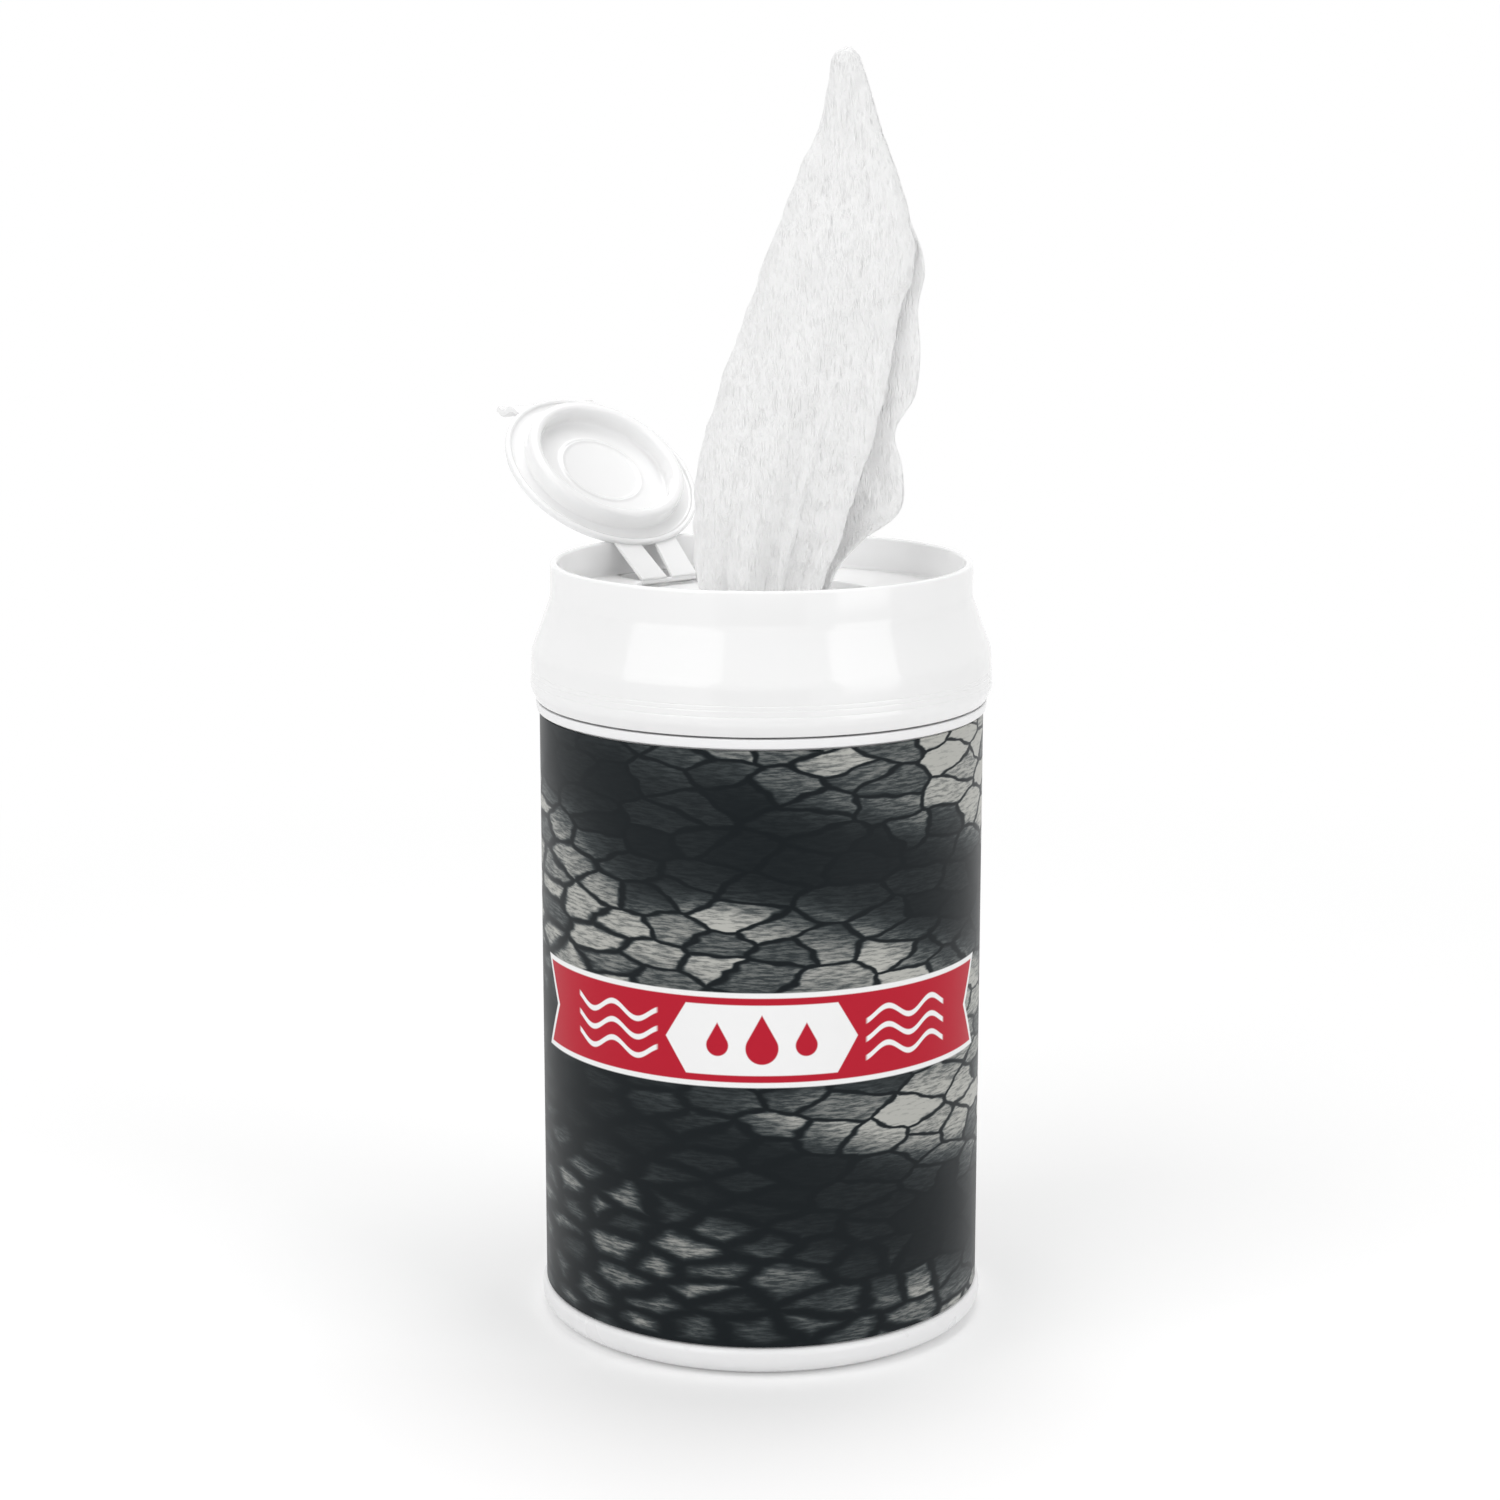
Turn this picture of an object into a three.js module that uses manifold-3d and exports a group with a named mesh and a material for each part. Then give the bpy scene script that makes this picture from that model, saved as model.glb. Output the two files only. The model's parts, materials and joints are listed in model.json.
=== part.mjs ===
// A can-shaped dispenser for wet wipes: a moulded canister with a printed film label, a screw
// cap with a recessed deck and a flip lid, a roll of wipes inside, and one wipe pulled up
// through the hole in the deck.
//
// Millimetres, +Z up. The origin is the centre of the underside of the canister, so the can's
// own axis is Z. The flip lid is shown open, leaning back over the rim of the cap.

import * as THREE from 'three';
import { mergeVertices } from 'three/addons/utils/BufferGeometryUtils.js';
import Module from 'manifold-3d';

const wasm = await Module();
wasm.setup();

// Fits
const SEAT_GAP = 0.3; // between two pieces that rest on each other
const HINGE_GAP = 0.35; // between the lid's hinge roll and the block under it

// Canister
const WALL = 1.1; // canister wall
const PANEL_RADIUS = 34.45; // outside of the wall under the label
const BASE_BEAD_STEP = 1.2; // the white bead at the base stands out from the panel by this
const BASE_BEAD_HEIGHT = 4.7;
const FOOT_INSET = 2.65; // from the bead in to the edge of the ring that the can stands on
const FOOT_WIDTH = 6;
const GATE_PAD_RADIUS = 8; // flat pad in the middle of the underside
const BASE_RECESS = 0.8; // depth of the ring-shaped recess between foot and pad
const FLOOR_TOP = 2.2; // upper face of the canister's floor
const SHOULDER_BEAD_STEP = 1.15; // the bead between label and cap stands out by this
const SHOULDER_BEAD_HEIGHT = 1.5;
const SHOULDER_BEAD_TOP = 100.3;
const NECK_STEP = 1.25; // from the panel in to the neck under the thread
const NECK_THREAD_TOP = 108.8; // where the neck starts to narrow
const MOUTH_STEP = 0.9; // from the neck in to its mouth
const MOUTH_TAPER = 1.2; // height of the taper from neck to mouth

// Thread
const THREAD_PITCH = 4;
const THREAD_TURNS = 1.2;
const NECK_THREAD_HEIGHT = 0.9; // how far the neck's round thread stands out
const CAP_THREAD_HEIGHT = 1.3; // how far the cap's round thread stands in
const THREAD_START = 3.2; // neck thread's first turn above the top of the shoulder bead
const THREAD_DROP = 1.8; // the cap's thread runs this far under the neck's

// Screw cap
const CAP_TOP = 122; // height of the whole can over its rim
const CAP_WALL = 1.2;
const THREAD_SPACE = 1.75; // between the neck and the inside of the skirt
const CAP_SKIRT_FLARE = 0.35; // the foot of the skirt is wider than its shoulder by this
const CAP_SHOULDER_Z = 108.4;
const CAP_RIM_STEP = 0.9; // the rim is wider than the mouth under it by this
const CAP_RIM_Z = 116.4; // where the shoulder meets the upright rim
const DECK_DROP = 5.5; // from the rim down to the deck
const DECK_THICKNESS = 1.3;
const SEAL_RING_WIDTH = 1; // ring under the deck that plugs the mouth
const SEAL_RING_DEPTH = 3.4;

// Tray in the deck, in the lid's own frame: x runs from the hinge to the tab
const TRAY_HALF_WIDTH = 18.5;
const TRAY_DEPTH = 1.5;
const TRAY_END_GAP = 3; // from the end of the tray, under the tab, to the rim
const TRAY_SHOULDER_X = -12; // where the tray starts to narrow towards the hinge
const HINGE_SLOT_HALF_WIDTH = 6;
const HINGE_SLOT_GAP = 1.4; // from the end of the slot behind the hinge to the rim
const POCKET_CLEARANCE = 0.7; // round the lid's disc
const POCKET_BEAD_RADIUS = 15.4;
const POCKET_BEAD_HEIGHT = 0.5;
const DISH_CLEARANCE = 0.3; // round the lid's plug ring
const DECK_SKIN = 1.1; // plastic under tray, pocket and dish
const ORIFICE_RADIUS = 5.4;
const ORIFICE_SLITS = 6;
const SLIT_WIDTH = 0.8;
const SLIT_LENGTH = 4.6;

// Flip lid
const LID_AZIMUTH = 128.3; // from +X to the hinge, in degrees
const LID_OPEN = 141; // from shut to the open position shown, in degrees
const HINGE_RADIUS = 24.4; // from the can's axis to the hinge line
const HINGE_DROP = 0.5; // hinge line under the deck's face
const HINGE_ROLL_RADIUS = 0.4;
const LID_RADIUS = 17;
const LID_THICKNESS = 1.4;
const LID_SKIN = 1; // plate inside the edge rim
const LID_EDGE_WIDTH = 0.8;
const LID_CORNER = 0.8; // rounding of the outer edge
const PLUG_OUTER_RADIUS = 13.8;
const PLUG_WIDTH = 2.1;
const PLUG_HEIGHT = 2.6;
const LID_RING_MARK_RADIUS = 7; // thin raised circle inside the plug ring
const LID_RING_MARK = 0.3;
const STRAP_OUTER_HALF_WIDTH = 5.5;
const STRAP_GAP = 1.6;
const STRAP_THICKNESS = 0.6;
const TAB_WIDTH = 17;
const TAB_REACH = 20.4; // from the middle of the disc to the tab's edge
const TAB_RISE = 3.8; // the tab's edge over the lid's outer face
const TAB_THICKNESS = 1.1;

// Label
const LABEL_THICKNESS = 0.3;
const LABEL_OVERLAP = 8; // degrees by which the film's ends overlap, at the back
const LABEL_SEAM_AZIMUTH = 100; // degrees, where the overlap starts

// Wipes
const ROLL_CLEARANCE = 1.2; // round the roll as it goes in through the mouth
const ROLL_BORE = 9;
const ROLL_HEIGHT = 96;
const ROLL_GROOVES = 5; // turns that show in each end face
const ROLL_GROOVE_DEPTH = 0.6;
const WIPE_THICKNESS = 0.6;
const WIPE_TAIL_HALF_WIDTH = 3.4; // where it comes off the roll's core
const WIPE_TAIL_DEPTH = 12; // how far the wipe reaches down into the roll's core

// Mesh fineness
const CAN_SEGMENTS = 48;
const LID_SEGMENTS = 36;
const ROLL_SEGMENTS = 32;

// Values that follow from the sizes above
const BASE_BEAD_RADIUS = PANEL_RADIUS + BASE_BEAD_STEP;
const FOOT_RADIUS = BASE_BEAD_RADIUS - FOOT_INSET;
const SHOULDER_BEAD_RADIUS = PANEL_RADIUS + SHOULDER_BEAD_STEP;
const SHOULDER_BEAD_Z = SHOULDER_BEAD_TOP - SHOULDER_BEAD_HEIGHT;
const NECK_RADIUS = PANEL_RADIUS - NECK_STEP;
const MOUTH_RADIUS = NECK_RADIUS - MOUTH_STEP;
const CAP_SHOULDER_RADIUS = NECK_RADIUS + THREAD_SPACE + CAP_WALL;
const CAP_SKIRT_RADIUS = CAP_SHOULDER_RADIUS + CAP_SKIRT_FLARE;
const CAP_RIM_RADIUS = MOUTH_RADIUS + CAP_RIM_STEP;
const DECK_RADIUS = CAP_RIM_RADIUS - CAP_WALL;
const TRAY_END_RADIUS = DECK_RADIUS - TRAY_END_GAP;
const HINGE_SLOT_END = DECK_RADIUS - HINGE_SLOT_GAP;
const ROLL_RADIUS = MOUTH_RADIUS - WALL - ROLL_CLEARANCE;
const CAP_BOTTOM = SHOULDER_BEAD_TOP + SEAT_GAP;
const DECK_Z = CAP_TOP - DECK_DROP;
const DECK_UNDERSIDE = DECK_Z - DECK_THICKNESS;
const TRAY_Z = DECK_Z - TRAY_DEPTH;
const HINGE_Z = DECK_Z - HINGE_DROP;
const OVER_TRAY = TRAY_Z + SEAT_GAP - HINGE_Z; // lowest that straps and tab reach, in the lid's frame
const POCKET_Z = HINGE_Z - LID_THICKNESS - SEAT_GAP;
const POCKET_RADIUS = LID_RADIUS + POCKET_CLEARANCE;
const DISH_Z = POCKET_Z - PLUG_HEIGHT;
const DISH_RADIUS = PLUG_OUTER_RADIUS + DISH_CLEARANCE;
const MOUTH_Z = TRAY_Z - DECK_SKIN - SEAT_GAP;
const HOLE_TOP = DISH_Z + SEAT_GAP; // the wipe stays narrow from here
const HOLE_BOTTOM = DISH_Z - DECK_SKIN - SEAT_GAP; // down to here
const LABEL_INNER_RADIUS = PANEL_RADIUS + SEAT_GAP;
const LABEL_BOTTOM = BASE_BEAD_HEIGHT + SEAT_GAP;
const LABEL_TOP = SHOULDER_BEAD_Z - SEAT_GAP;
const ROLL_BOTTOM = FLOOR_TOP + SEAT_GAP;
const ROLL_TOP = ROLL_BOTTOM + ROLL_HEIGHT;

const radians = THREE.MathUtils.degToRad;

// Turns a three.js geometry into a solid that can be joined and cut.
function toSolid(geometry) {
  const bare = new THREE.BufferGeometry();
  bare.setAttribute('position', geometry.attributes.position.clone());
  if (geometry.index) bare.setIndex(geometry.index.clone());
  const merged = mergeVertices(bare, 1e-4);
  const place = merged.attributes.position;
  const corners = merged.index.array;
  const kept = [];
  let volume = 0;
  const a = new THREE.Vector3();
  const b = new THREE.Vector3();
  const c = new THREE.Vector3();
  for (let i = 0; i < corners.length; i += 3) {
    const [p, q, r] = [corners[i], corners[i + 1], corners[i + 2]];
    if (p === q || q === r || r === p) continue;
    kept.push(p, q, r);
    a.fromBufferAttribute(place, p);
    b.fromBufferAttribute(place, q);
    c.fromBufferAttribute(place, r);
    volume += a.dot(b.cross(c));
  }
  if (volume < 0) kept.reverse();
  const mesh = new wasm.Mesh({
    numProp: 3,
    vertProperties: new Float32Array(place.array),
    triVerts: new Uint32Array(kept),
  });
  return new wasm.Manifold(mesh);
}

// Turns a solid back into a three.js geometry.
function toGeometry(solid) {
  const mesh = solid.getMesh();
  const geometry = new THREE.BufferGeometry();
  geometry.setAttribute('position', new THREE.BufferAttribute(mesh.vertProperties, 3));
  geometry.setIndex(new THREE.BufferAttribute(mesh.triVerts, 1));
  geometry.computeVertexNormals();
  return geometry;
}

// Spins a profile of [radius, height] pairs about Z.
function spin(profile, segments = CAN_SEGMENTS) {
  const points = profile.map(([r, z]) => new THREE.Vector2(r, z));
  points.push(points[0].clone());
  return toSolid(new THREE.LatheGeometry(points, segments).rotateX(Math.PI / 2));
}

// A plain disc or drum about Z.
function drum(radius, low, high, segments = CAN_SEGMENTS) {
  return spin([[0, low], [radius, low], [radius, high], [0, high]], segments);
}

// A flat outline in x and y, raised from one height to another.
function raise(shape, low, high, curveSegments = 24) {
  const geometry = new THREE.ExtrudeGeometry(shape, {
    depth: high - low,
    bevelEnabled: false,
    curveSegments,
  });
  return toSolid(geometry.translate(0, 0, low));
}

// A box from its lowest to its highest corner.
function block([x0, y0, z0], [x1, y1, z1]) {
  const box = new THREE.BoxGeometry(x1 - x0, y1 - y0, z1 - z0);
  return toSolid(box.translate((x0 + x1) / 2, (y0 + y1) / 2, (z0 + z1) / 2));
}

// Points of a round stretch of a profile, in degrees from +r towards +z.
function bend(r, z, radius, from, to, steps = 4) {
  return Array.from({ length: steps + 1 }, (_, i) => {
    const angle = radians(from + ((to - from) * i) / steps);
    return [r + radius * Math.cos(angle), z + radius * Math.sin(angle)];
  });
}

class Helix extends THREE.Curve {
  constructor(radius, bottom, startAngle, turns) {
    super();
    Object.assign(this, { radius, bottom, startAngle, turns });
  }

  getPoint(t, target = new THREE.Vector3()) {
    const angle = this.startAngle + t * this.turns * 2 * Math.PI;
    const z = this.bottom + t * this.turns * THREAD_PITCH;
    return target.set(this.radius * Math.cos(angle), this.radius * Math.sin(angle), z);
  }
}

// One round thread, half of it buried in the wall that carries it.
function thread(radius, bottom, height, startAngle) {
  const section = new THREE.Shape();
  section.absarc(0, 0, height, 0, 2 * Math.PI);
  const stepsPerTurn = 24;
  const geometry = new THREE.ExtrudeGeometry(section, {
    steps: Math.round(stepsPerTurn * THREAD_TURNS),
    curveSegments: 4,
    extrudePath: new Helix(radius, bottom, startAngle, THREAD_TURNS),
  });
  return toSolid(geometry);
}

// The canister: foot, base bead, label panel, shoulder bead, threaded neck and open mouth.
function canBody() {
  const beadRound = 2.4;
  const footInner = FOOT_RADIUS - FOOT_WIDTH;
  const chamfer = 0.3;
  const profile = [
    [0, 0],
    [GATE_PAD_RADIUS, 0],
    [GATE_PAD_RADIUS + BASE_RECESS, BASE_RECESS],
    [footInner - BASE_RECESS, BASE_RECESS],
    [footInner, 0],
    [FOOT_RADIUS, 0],
    ...bend(BASE_BEAD_RADIUS - beadRound, beadRound, beadRound, -60, 0, 4),
    [BASE_BEAD_RADIUS, BASE_BEAD_HEIGHT - 1.2],
    [PANEL_RADIUS + 0.6, BASE_BEAD_HEIGHT],
    [PANEL_RADIUS, BASE_BEAD_HEIGHT + 0.1],
    [PANEL_RADIUS, SHOULDER_BEAD_Z],
    [SHOULDER_BEAD_RADIUS, SHOULDER_BEAD_Z],
    [SHOULDER_BEAD_RADIUS, SHOULDER_BEAD_TOP - chamfer],
    [SHOULDER_BEAD_RADIUS - chamfer, SHOULDER_BEAD_TOP],
    [NECK_RADIUS, SHOULDER_BEAD_TOP],
    [NECK_RADIUS, NECK_THREAD_TOP],
    [MOUTH_RADIUS, NECK_THREAD_TOP + MOUTH_TAPER],
    [MOUTH_RADIUS, MOUTH_Z],
    [MOUTH_RADIUS - WALL, MOUTH_Z],
    [MOUTH_RADIUS - WALL, SHOULDER_BEAD_Z - WALL],
    [PANEL_RADIUS - WALL, SHOULDER_BEAD_Z - 3 * WALL],
    [PANEL_RADIUS - WALL, FLOOR_TOP + WALL],
    [PANEL_RADIUS - 2 * WALL, FLOOR_TOP],
    [0, FLOOR_TOP],
  ];
  const helix = thread(NECK_RADIUS, SHOULDER_BEAD_TOP + THREAD_START, NECK_THREAD_HEIGHT, 0);
  return spin(profile).add(helix);
}

// The printed film: one strip wrapped round the panel, its end lapped over its start.
function wrapLabel() {
  const steps = CAN_SEGMENTS;
  const lapSteps = 3;
  const lapGap = 0.1;
  const climb = LABEL_THICKNESS + lapGap;
  const inner = [];
  const outer = [];
  const total = steps + lapSteps;
  for (let i = 0; i <= total; i += 1) {
    const over = i - steps;
    const turned = over <= 0 ? (i / steps) * 360 : 360 + (over / lapSteps) * LABEL_OVERLAP;
    const angle = radians(LABEL_SEAM_AZIMUTH + turned);
    const radius = LABEL_INNER_RADIUS + (over >= 0 ? climb : 0);
    inner.push([radius * Math.cos(angle), radius * Math.sin(angle)]);
    const rim = radius + LABEL_THICKNESS;
    outer.push([rim * Math.cos(angle), rim * Math.sin(angle)]);
  }
  const outline = new THREE.Shape();
  [...outer, ...inner.reverse()].forEach(([x, y], i) => {
    if (i === 0) outline.moveTo(x, y);
    else outline.lineTo(x, y);
  });
  return raise(outline, LABEL_BOTTOM, LABEL_TOP);
}

// Outline of the tray in the deck, grown by a margin, in the lid's frame.
function trayOutline(margin = 0) {
  const side = TRAY_HALF_WIDTH + margin;
  const slot = HINGE_SLOT_HALF_WIDTH + margin;
  const end = TRAY_END_RADIUS + margin;
  const endAngle = Math.asin(side / end);
  const outline = new THREE.Shape();
  outline.absarc(0, 0, end, -endAngle, endAngle);
  outline.lineTo(TRAY_SHOULDER_X, side);
  outline.lineTo(TRAY_SHOULDER_X - 4.2, side - 3);
  outline.lineTo(-HINGE_RADIUS + 1.5, slot);
  outline.lineTo(-HINGE_SLOT_END, slot);
  outline.lineTo(-HINGE_SLOT_END, -slot);
  outline.lineTo(-HINGE_RADIUS + 1.5, -slot);
  outline.lineTo(TRAY_SHOULDER_X - 4.2, -side + 3);
  outline.lineTo(TRAY_SHOULDER_X, -side);
  outline.closePath();
  return outline;
}

// The orifice and its slits, as one cutter.
function orifice() {
  const low = DISH_Z - 2 * DECK_SKIN;
  const high = DISH_Z + DECK_SKIN;
  let cutter = drum(ORIFICE_RADIUS, low, high, 36);
  const reach = ORIFICE_RADIUS + SLIT_LENGTH;
  for (let i = 0; i < ORIFICE_SLITS; i += 1) {
    const slit = block([0, -SLIT_WIDTH / 2, low], [reach, SLIT_WIDTH / 2, high]);
    cutter = cutter.add(slit.rotate([0, 0, (360 * i) / ORIFICE_SLITS]));
  }
  return cutter;
}

// The screw cap: skirt, shoulder, rim, deck, tray, pocket, dish, seal ring and thread.
function screwCap() {
  const rimRound = CAP_WALL / 2;
  const skirtChamfer = 0.8;
  const shell = spin([
    [CAP_SKIRT_RADIUS - CAP_WALL, CAP_BOTTOM],
    [CAP_SKIRT_RADIUS - skirtChamfer / 2, CAP_BOTTOM],
    [CAP_SKIRT_RADIUS, CAP_BOTTOM + skirtChamfer],
    [CAP_SHOULDER_RADIUS, CAP_SHOULDER_Z - 0.5],
    [CAP_SHOULDER_RADIUS - 0.2, CAP_SHOULDER_Z + 0.3],
    [CAP_RIM_RADIUS + 0.2, CAP_RIM_Z - 0.4],
    [CAP_RIM_RADIUS, CAP_RIM_Z + 0.2],
    ...bend(CAP_RIM_RADIUS - rimRound, CAP_TOP - rimRound, rimRound, 0, 180, 6),
    [DECK_RADIUS, DECK_Z + 0.5],
    [DECK_RADIUS - 0.5, DECK_Z],
    [0, DECK_Z],
    [0, DECK_UNDERSIDE],
    [DECK_RADIUS - 0.4, DECK_UNDERSIDE],
    [CAP_SHOULDER_RADIUS - CAP_WALL, CAP_SHOULDER_Z - 0.6],
  ]);
  const toLidFrame = (solid) => solid.rotate([0, 0, LID_AZIMUTH + 180]);
  const mouthInner = MOUTH_RADIUS - WALL;
  const trayFloorRadius = mouthInner - SEAT_GAP;
  const underTray = raise(trayOutline(DECK_SKIN), TRAY_Z - DECK_SKIN, DECK_UNDERSIDE + 0.2);
  const underPocket = drum(POCKET_RADIUS + DECK_SKIN, POCKET_Z - DECK_SKIN, DECK_UNDERSIDE + 0.2);
  const underDish = drum(DISH_RADIUS + DECK_SKIN, DISH_Z - DECK_SKIN, DECK_UNDERSIDE + 0.2);
  const sealRing = spin([
    [trayFloorRadius - SEAL_RING_WIDTH, TRAY_Z - SEAL_RING_DEPTH],
    [trayFloorRadius - 0.3, TRAY_Z - SEAL_RING_DEPTH],
    [trayFloorRadius, TRAY_Z - SEAL_RING_DEPTH + 0.6],
    [trayFloorRadius, DECK_UNDERSIDE + 0.2],
    [trayFloorRadius - SEAL_RING_WIDTH, DECK_UNDERSIDE + 0.2],
  ]);
  const insideRim = drum(DECK_RADIUS, TRAY_Z - DECK_SKIN, DECK_Z);
  const tray = raise(trayOutline(), TRAY_Z, DECK_Z + 1);
  const bead = spin([
    [POCKET_BEAD_RADIUS - 0.7, POCKET_Z - 0.2],
    [POCKET_BEAD_RADIUS + 0.7, POCKET_Z - 0.2],
    [POCKET_BEAD_RADIUS + 0.25, POCKET_Z + POCKET_BEAD_HEIGHT],
    [POCKET_BEAD_RADIUS - 0.25, POCKET_Z + POCKET_BEAD_HEIGHT],
  ]);
  const blockTop = HINGE_Z - HINGE_ROLL_RADIUS - HINGE_GAP;
  const hingeBlock = block(
    [-HINGE_RADIUS - 1.8, -HINGE_SLOT_HALF_WIDTH - 0.2, TRAY_Z - 0.2],
    [-HINGE_RADIUS - 0.1, HINGE_SLOT_HALF_WIDTH + 0.2, blockTop],
  );
  const helix = thread(
    CAP_SHOULDER_RADIUS - CAP_WALL,
    SHOULDER_BEAD_TOP + THREAD_START - THREAD_DROP + THREAD_PITCH * 0.05,
    CAP_THREAD_HEIGHT,
    radians(360 * 0.05),
  );
  return shell
    .add(toLidFrame(underTray).intersect(insideRim))
    .add(underPocket)
    .add(underDish)
    .add(sealRing)
    .add(helix)
    .subtract(toLidFrame(tray))
    .subtract(drum(POCKET_RADIUS, POCKET_Z, DECK_Z + 1))
    .subtract(drum(DISH_RADIUS, DISH_Z, DECK_Z + 1))
    .add(bead)
    .add(toLidFrame(hingeBlock))
    .subtract(orifice());
}

// The flip lid, lying shut in its own frame: the hinge line is Y, x runs to the tab, and the
// outer face is z = 0.
function flipLid() {
  const flange = -LID_SKIN;
  const plugInner = PLUG_OUTER_RADIUS - PLUG_WIDTH;
  const plugFoot = -LID_THICKNESS - PLUG_HEIGHT;
  const plugRound = 0.6;
  const mark = LID_RING_MARK_RADIUS;
  const disc = spin([
    [0, flange],
    [mark - 0.25, flange],
    [mark, flange - LID_RING_MARK],
    [mark + 0.25, flange],
    [plugInner - 0.4, flange],
    [plugInner, flange - 0.5],
    [plugInner, plugFoot + plugRound],
    [plugInner + plugRound, plugFoot],
    [PLUG_OUTER_RADIUS - plugRound, plugFoot],
    [PLUG_OUTER_RADIUS, plugFoot + plugRound],
    [PLUG_OUTER_RADIUS - 0.1, flange],
    [LID_RADIUS - LID_EDGE_WIDTH, flange],
    [LID_RADIUS - LID_EDGE_WIDTH + 0.3, -LID_THICKNESS],
    [LID_RADIUS - 0.4, -LID_THICKNESS],
    [LID_RADIUS, -LID_THICKNESS + 0.4],
    [LID_RADIUS, -LID_CORNER],
    [LID_RADIUS - 0.3 * LID_CORNER, -0.3 * LID_CORNER],
    [LID_RADIUS - LID_CORNER, 0],
    [0, 0],
  ], LID_SEGMENTS);

  const lip = new THREE.Shape();
  const root = LID_RADIUS - 2;
  lip.moveTo(root, OVER_TRAY);
  lip.quadraticCurveTo(LID_RADIUS + 0.6, OVER_TRAY, LID_RADIUS + 1.2, 1.2);
  lip.quadraticCurveTo(LID_RADIUS + 1.8, TAB_RISE - TAB_THICKNESS, TAB_REACH, TAB_RISE - TAB_THICKNESS);
  lip.lineTo(TAB_REACH, TAB_RISE);
  lip.quadraticCurveTo(LID_RADIUS + 0.8, TAB_RISE, LID_RADIUS, 1.6);
  lip.quadraticCurveTo(LID_RADIUS - 0.6, 0, root, 0);
  lip.closePath();
  const tab = raise(lip, -TAB_WIDTH / 2, TAB_WIDTH / 2, 5).rotate([90, 0, 0]);

  const middle = HINGE_RADIUS;
  let lid = disc.add(tab).translate([middle, 0, 0]);
  const strapEnd = middle - LID_RADIUS + 1.4;
  for (const side of [-1, 1]) {
    const strap = new THREE.Shape();
    strap.moveTo(0, side * STRAP_GAP * 0.3);
    strap.lineTo(0, side * STRAP_OUTER_HALF_WIDTH);
    strap.lineTo(strapEnd, side * (STRAP_OUTER_HALF_WIDTH + 0.6));
    strap.lineTo(strapEnd, side * STRAP_GAP);
    strap.closePath();
    lid = lid.add(raise(strap, OVER_TRAY, OVER_TRAY + STRAP_THICKNESS));
  }
  const roll = drum(HINGE_ROLL_RADIUS, -STRAP_OUTER_HALF_WIDTH, STRAP_OUTER_HALF_WIDTH, 12);
  return lid.add(roll.rotate([90, 0, 0]));
}

// The roll of wipes: wound turns show as grooves in both ends, and the middle is open.
function wipeRoll() {
  const pitch = (ROLL_RADIUS - ROLL_BORE) / ROLL_GROOVES;
  const groove = 0.5; // half the width of a groove at the face
  const face = [];
  for (let i = 1; i < ROLL_GROOVES; i += 1) {
    const r = ROLL_BORE + i * pitch;
    face.push([r - groove, 0], [r, ROLL_GROOVE_DEPTH], [r + groove, 0]);
  }
  const bottom = face.map(([r, depth]) => [r, ROLL_BOTTOM + depth]);
  const top = face.map(([r, depth]) => [r, ROLL_TOP - depth]).reverse();
  return spin([
    [ROLL_BORE, ROLL_BOTTOM],
    ...bottom,
    [ROLL_RADIUS, ROLL_BOTTOM],
    [ROLL_RADIUS, ROLL_TOP],
    ...top,
    [ROLL_BORE, ROLL_TOP],
  ], ROLL_SEGMENTS);
}

// The wipe that was pulled up, as rows of height over the hole, left edge, right edge of the
// front layer, right edge of the back layer, and thickness from front to back.
const NECK_HALF_WIDTH = ORIFICE_RADIUS - SEAT_GAP - WIPE_THICKNESS / 2;
const WIPE_ROWS = [
  [0, -NECK_HALF_WIDTH, 0.8 * NECK_HALF_WIDTH, NECK_HALF_WIDTH, NECK_HALF_WIDTH],
  [1.4, -6.6, 5.6, 7, 7],
  [3.8, -9.2, 8.4, 9.7, 8],
  [9, -10.3, 10, 12, 8.6],
  [13, -10.4, 11.6, 15.4, 9],
  [19, -10, 13.4, 20.2, 9],
  [23, -9.5, 14.8, 21.9, 8.8],
  [29, -8.3, 16.6, 20.9, 8.4],
  [35.5, -6.3, 18.4, 23.7, 8],
  [42, -4.1, 19.6, 24.5, 7.4],
  [49, -1.5, 20.6, 24, 6.8],
  [55.5, 0.8, 22.6, 25, 6],
  [62, 3.5, 21.8, 23, 5.2],
  [69, 5.6, 20.4, 21.1, 4.4],
  [75, 7.8, 18.4, 18.9, 3.6],
  [82, 9.8, 16.3, 16.7, 2.8],
  [87, 10.8, 14.6, 14.9, 2.4],
  [88.5, 12.6, 13.9, 14.1, 2],
];

// Smooth value between the rows, by a spline through one column.
function wipeColumn(column) {
  const points = WIPE_ROWS.map((row) => new THREE.Vector3(row[0], row[column], 0));
  const curve = new THREE.CatmullRomCurve3(points, false, 'centripetal');
  return (share) => curve.getPoint(share);
}

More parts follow.
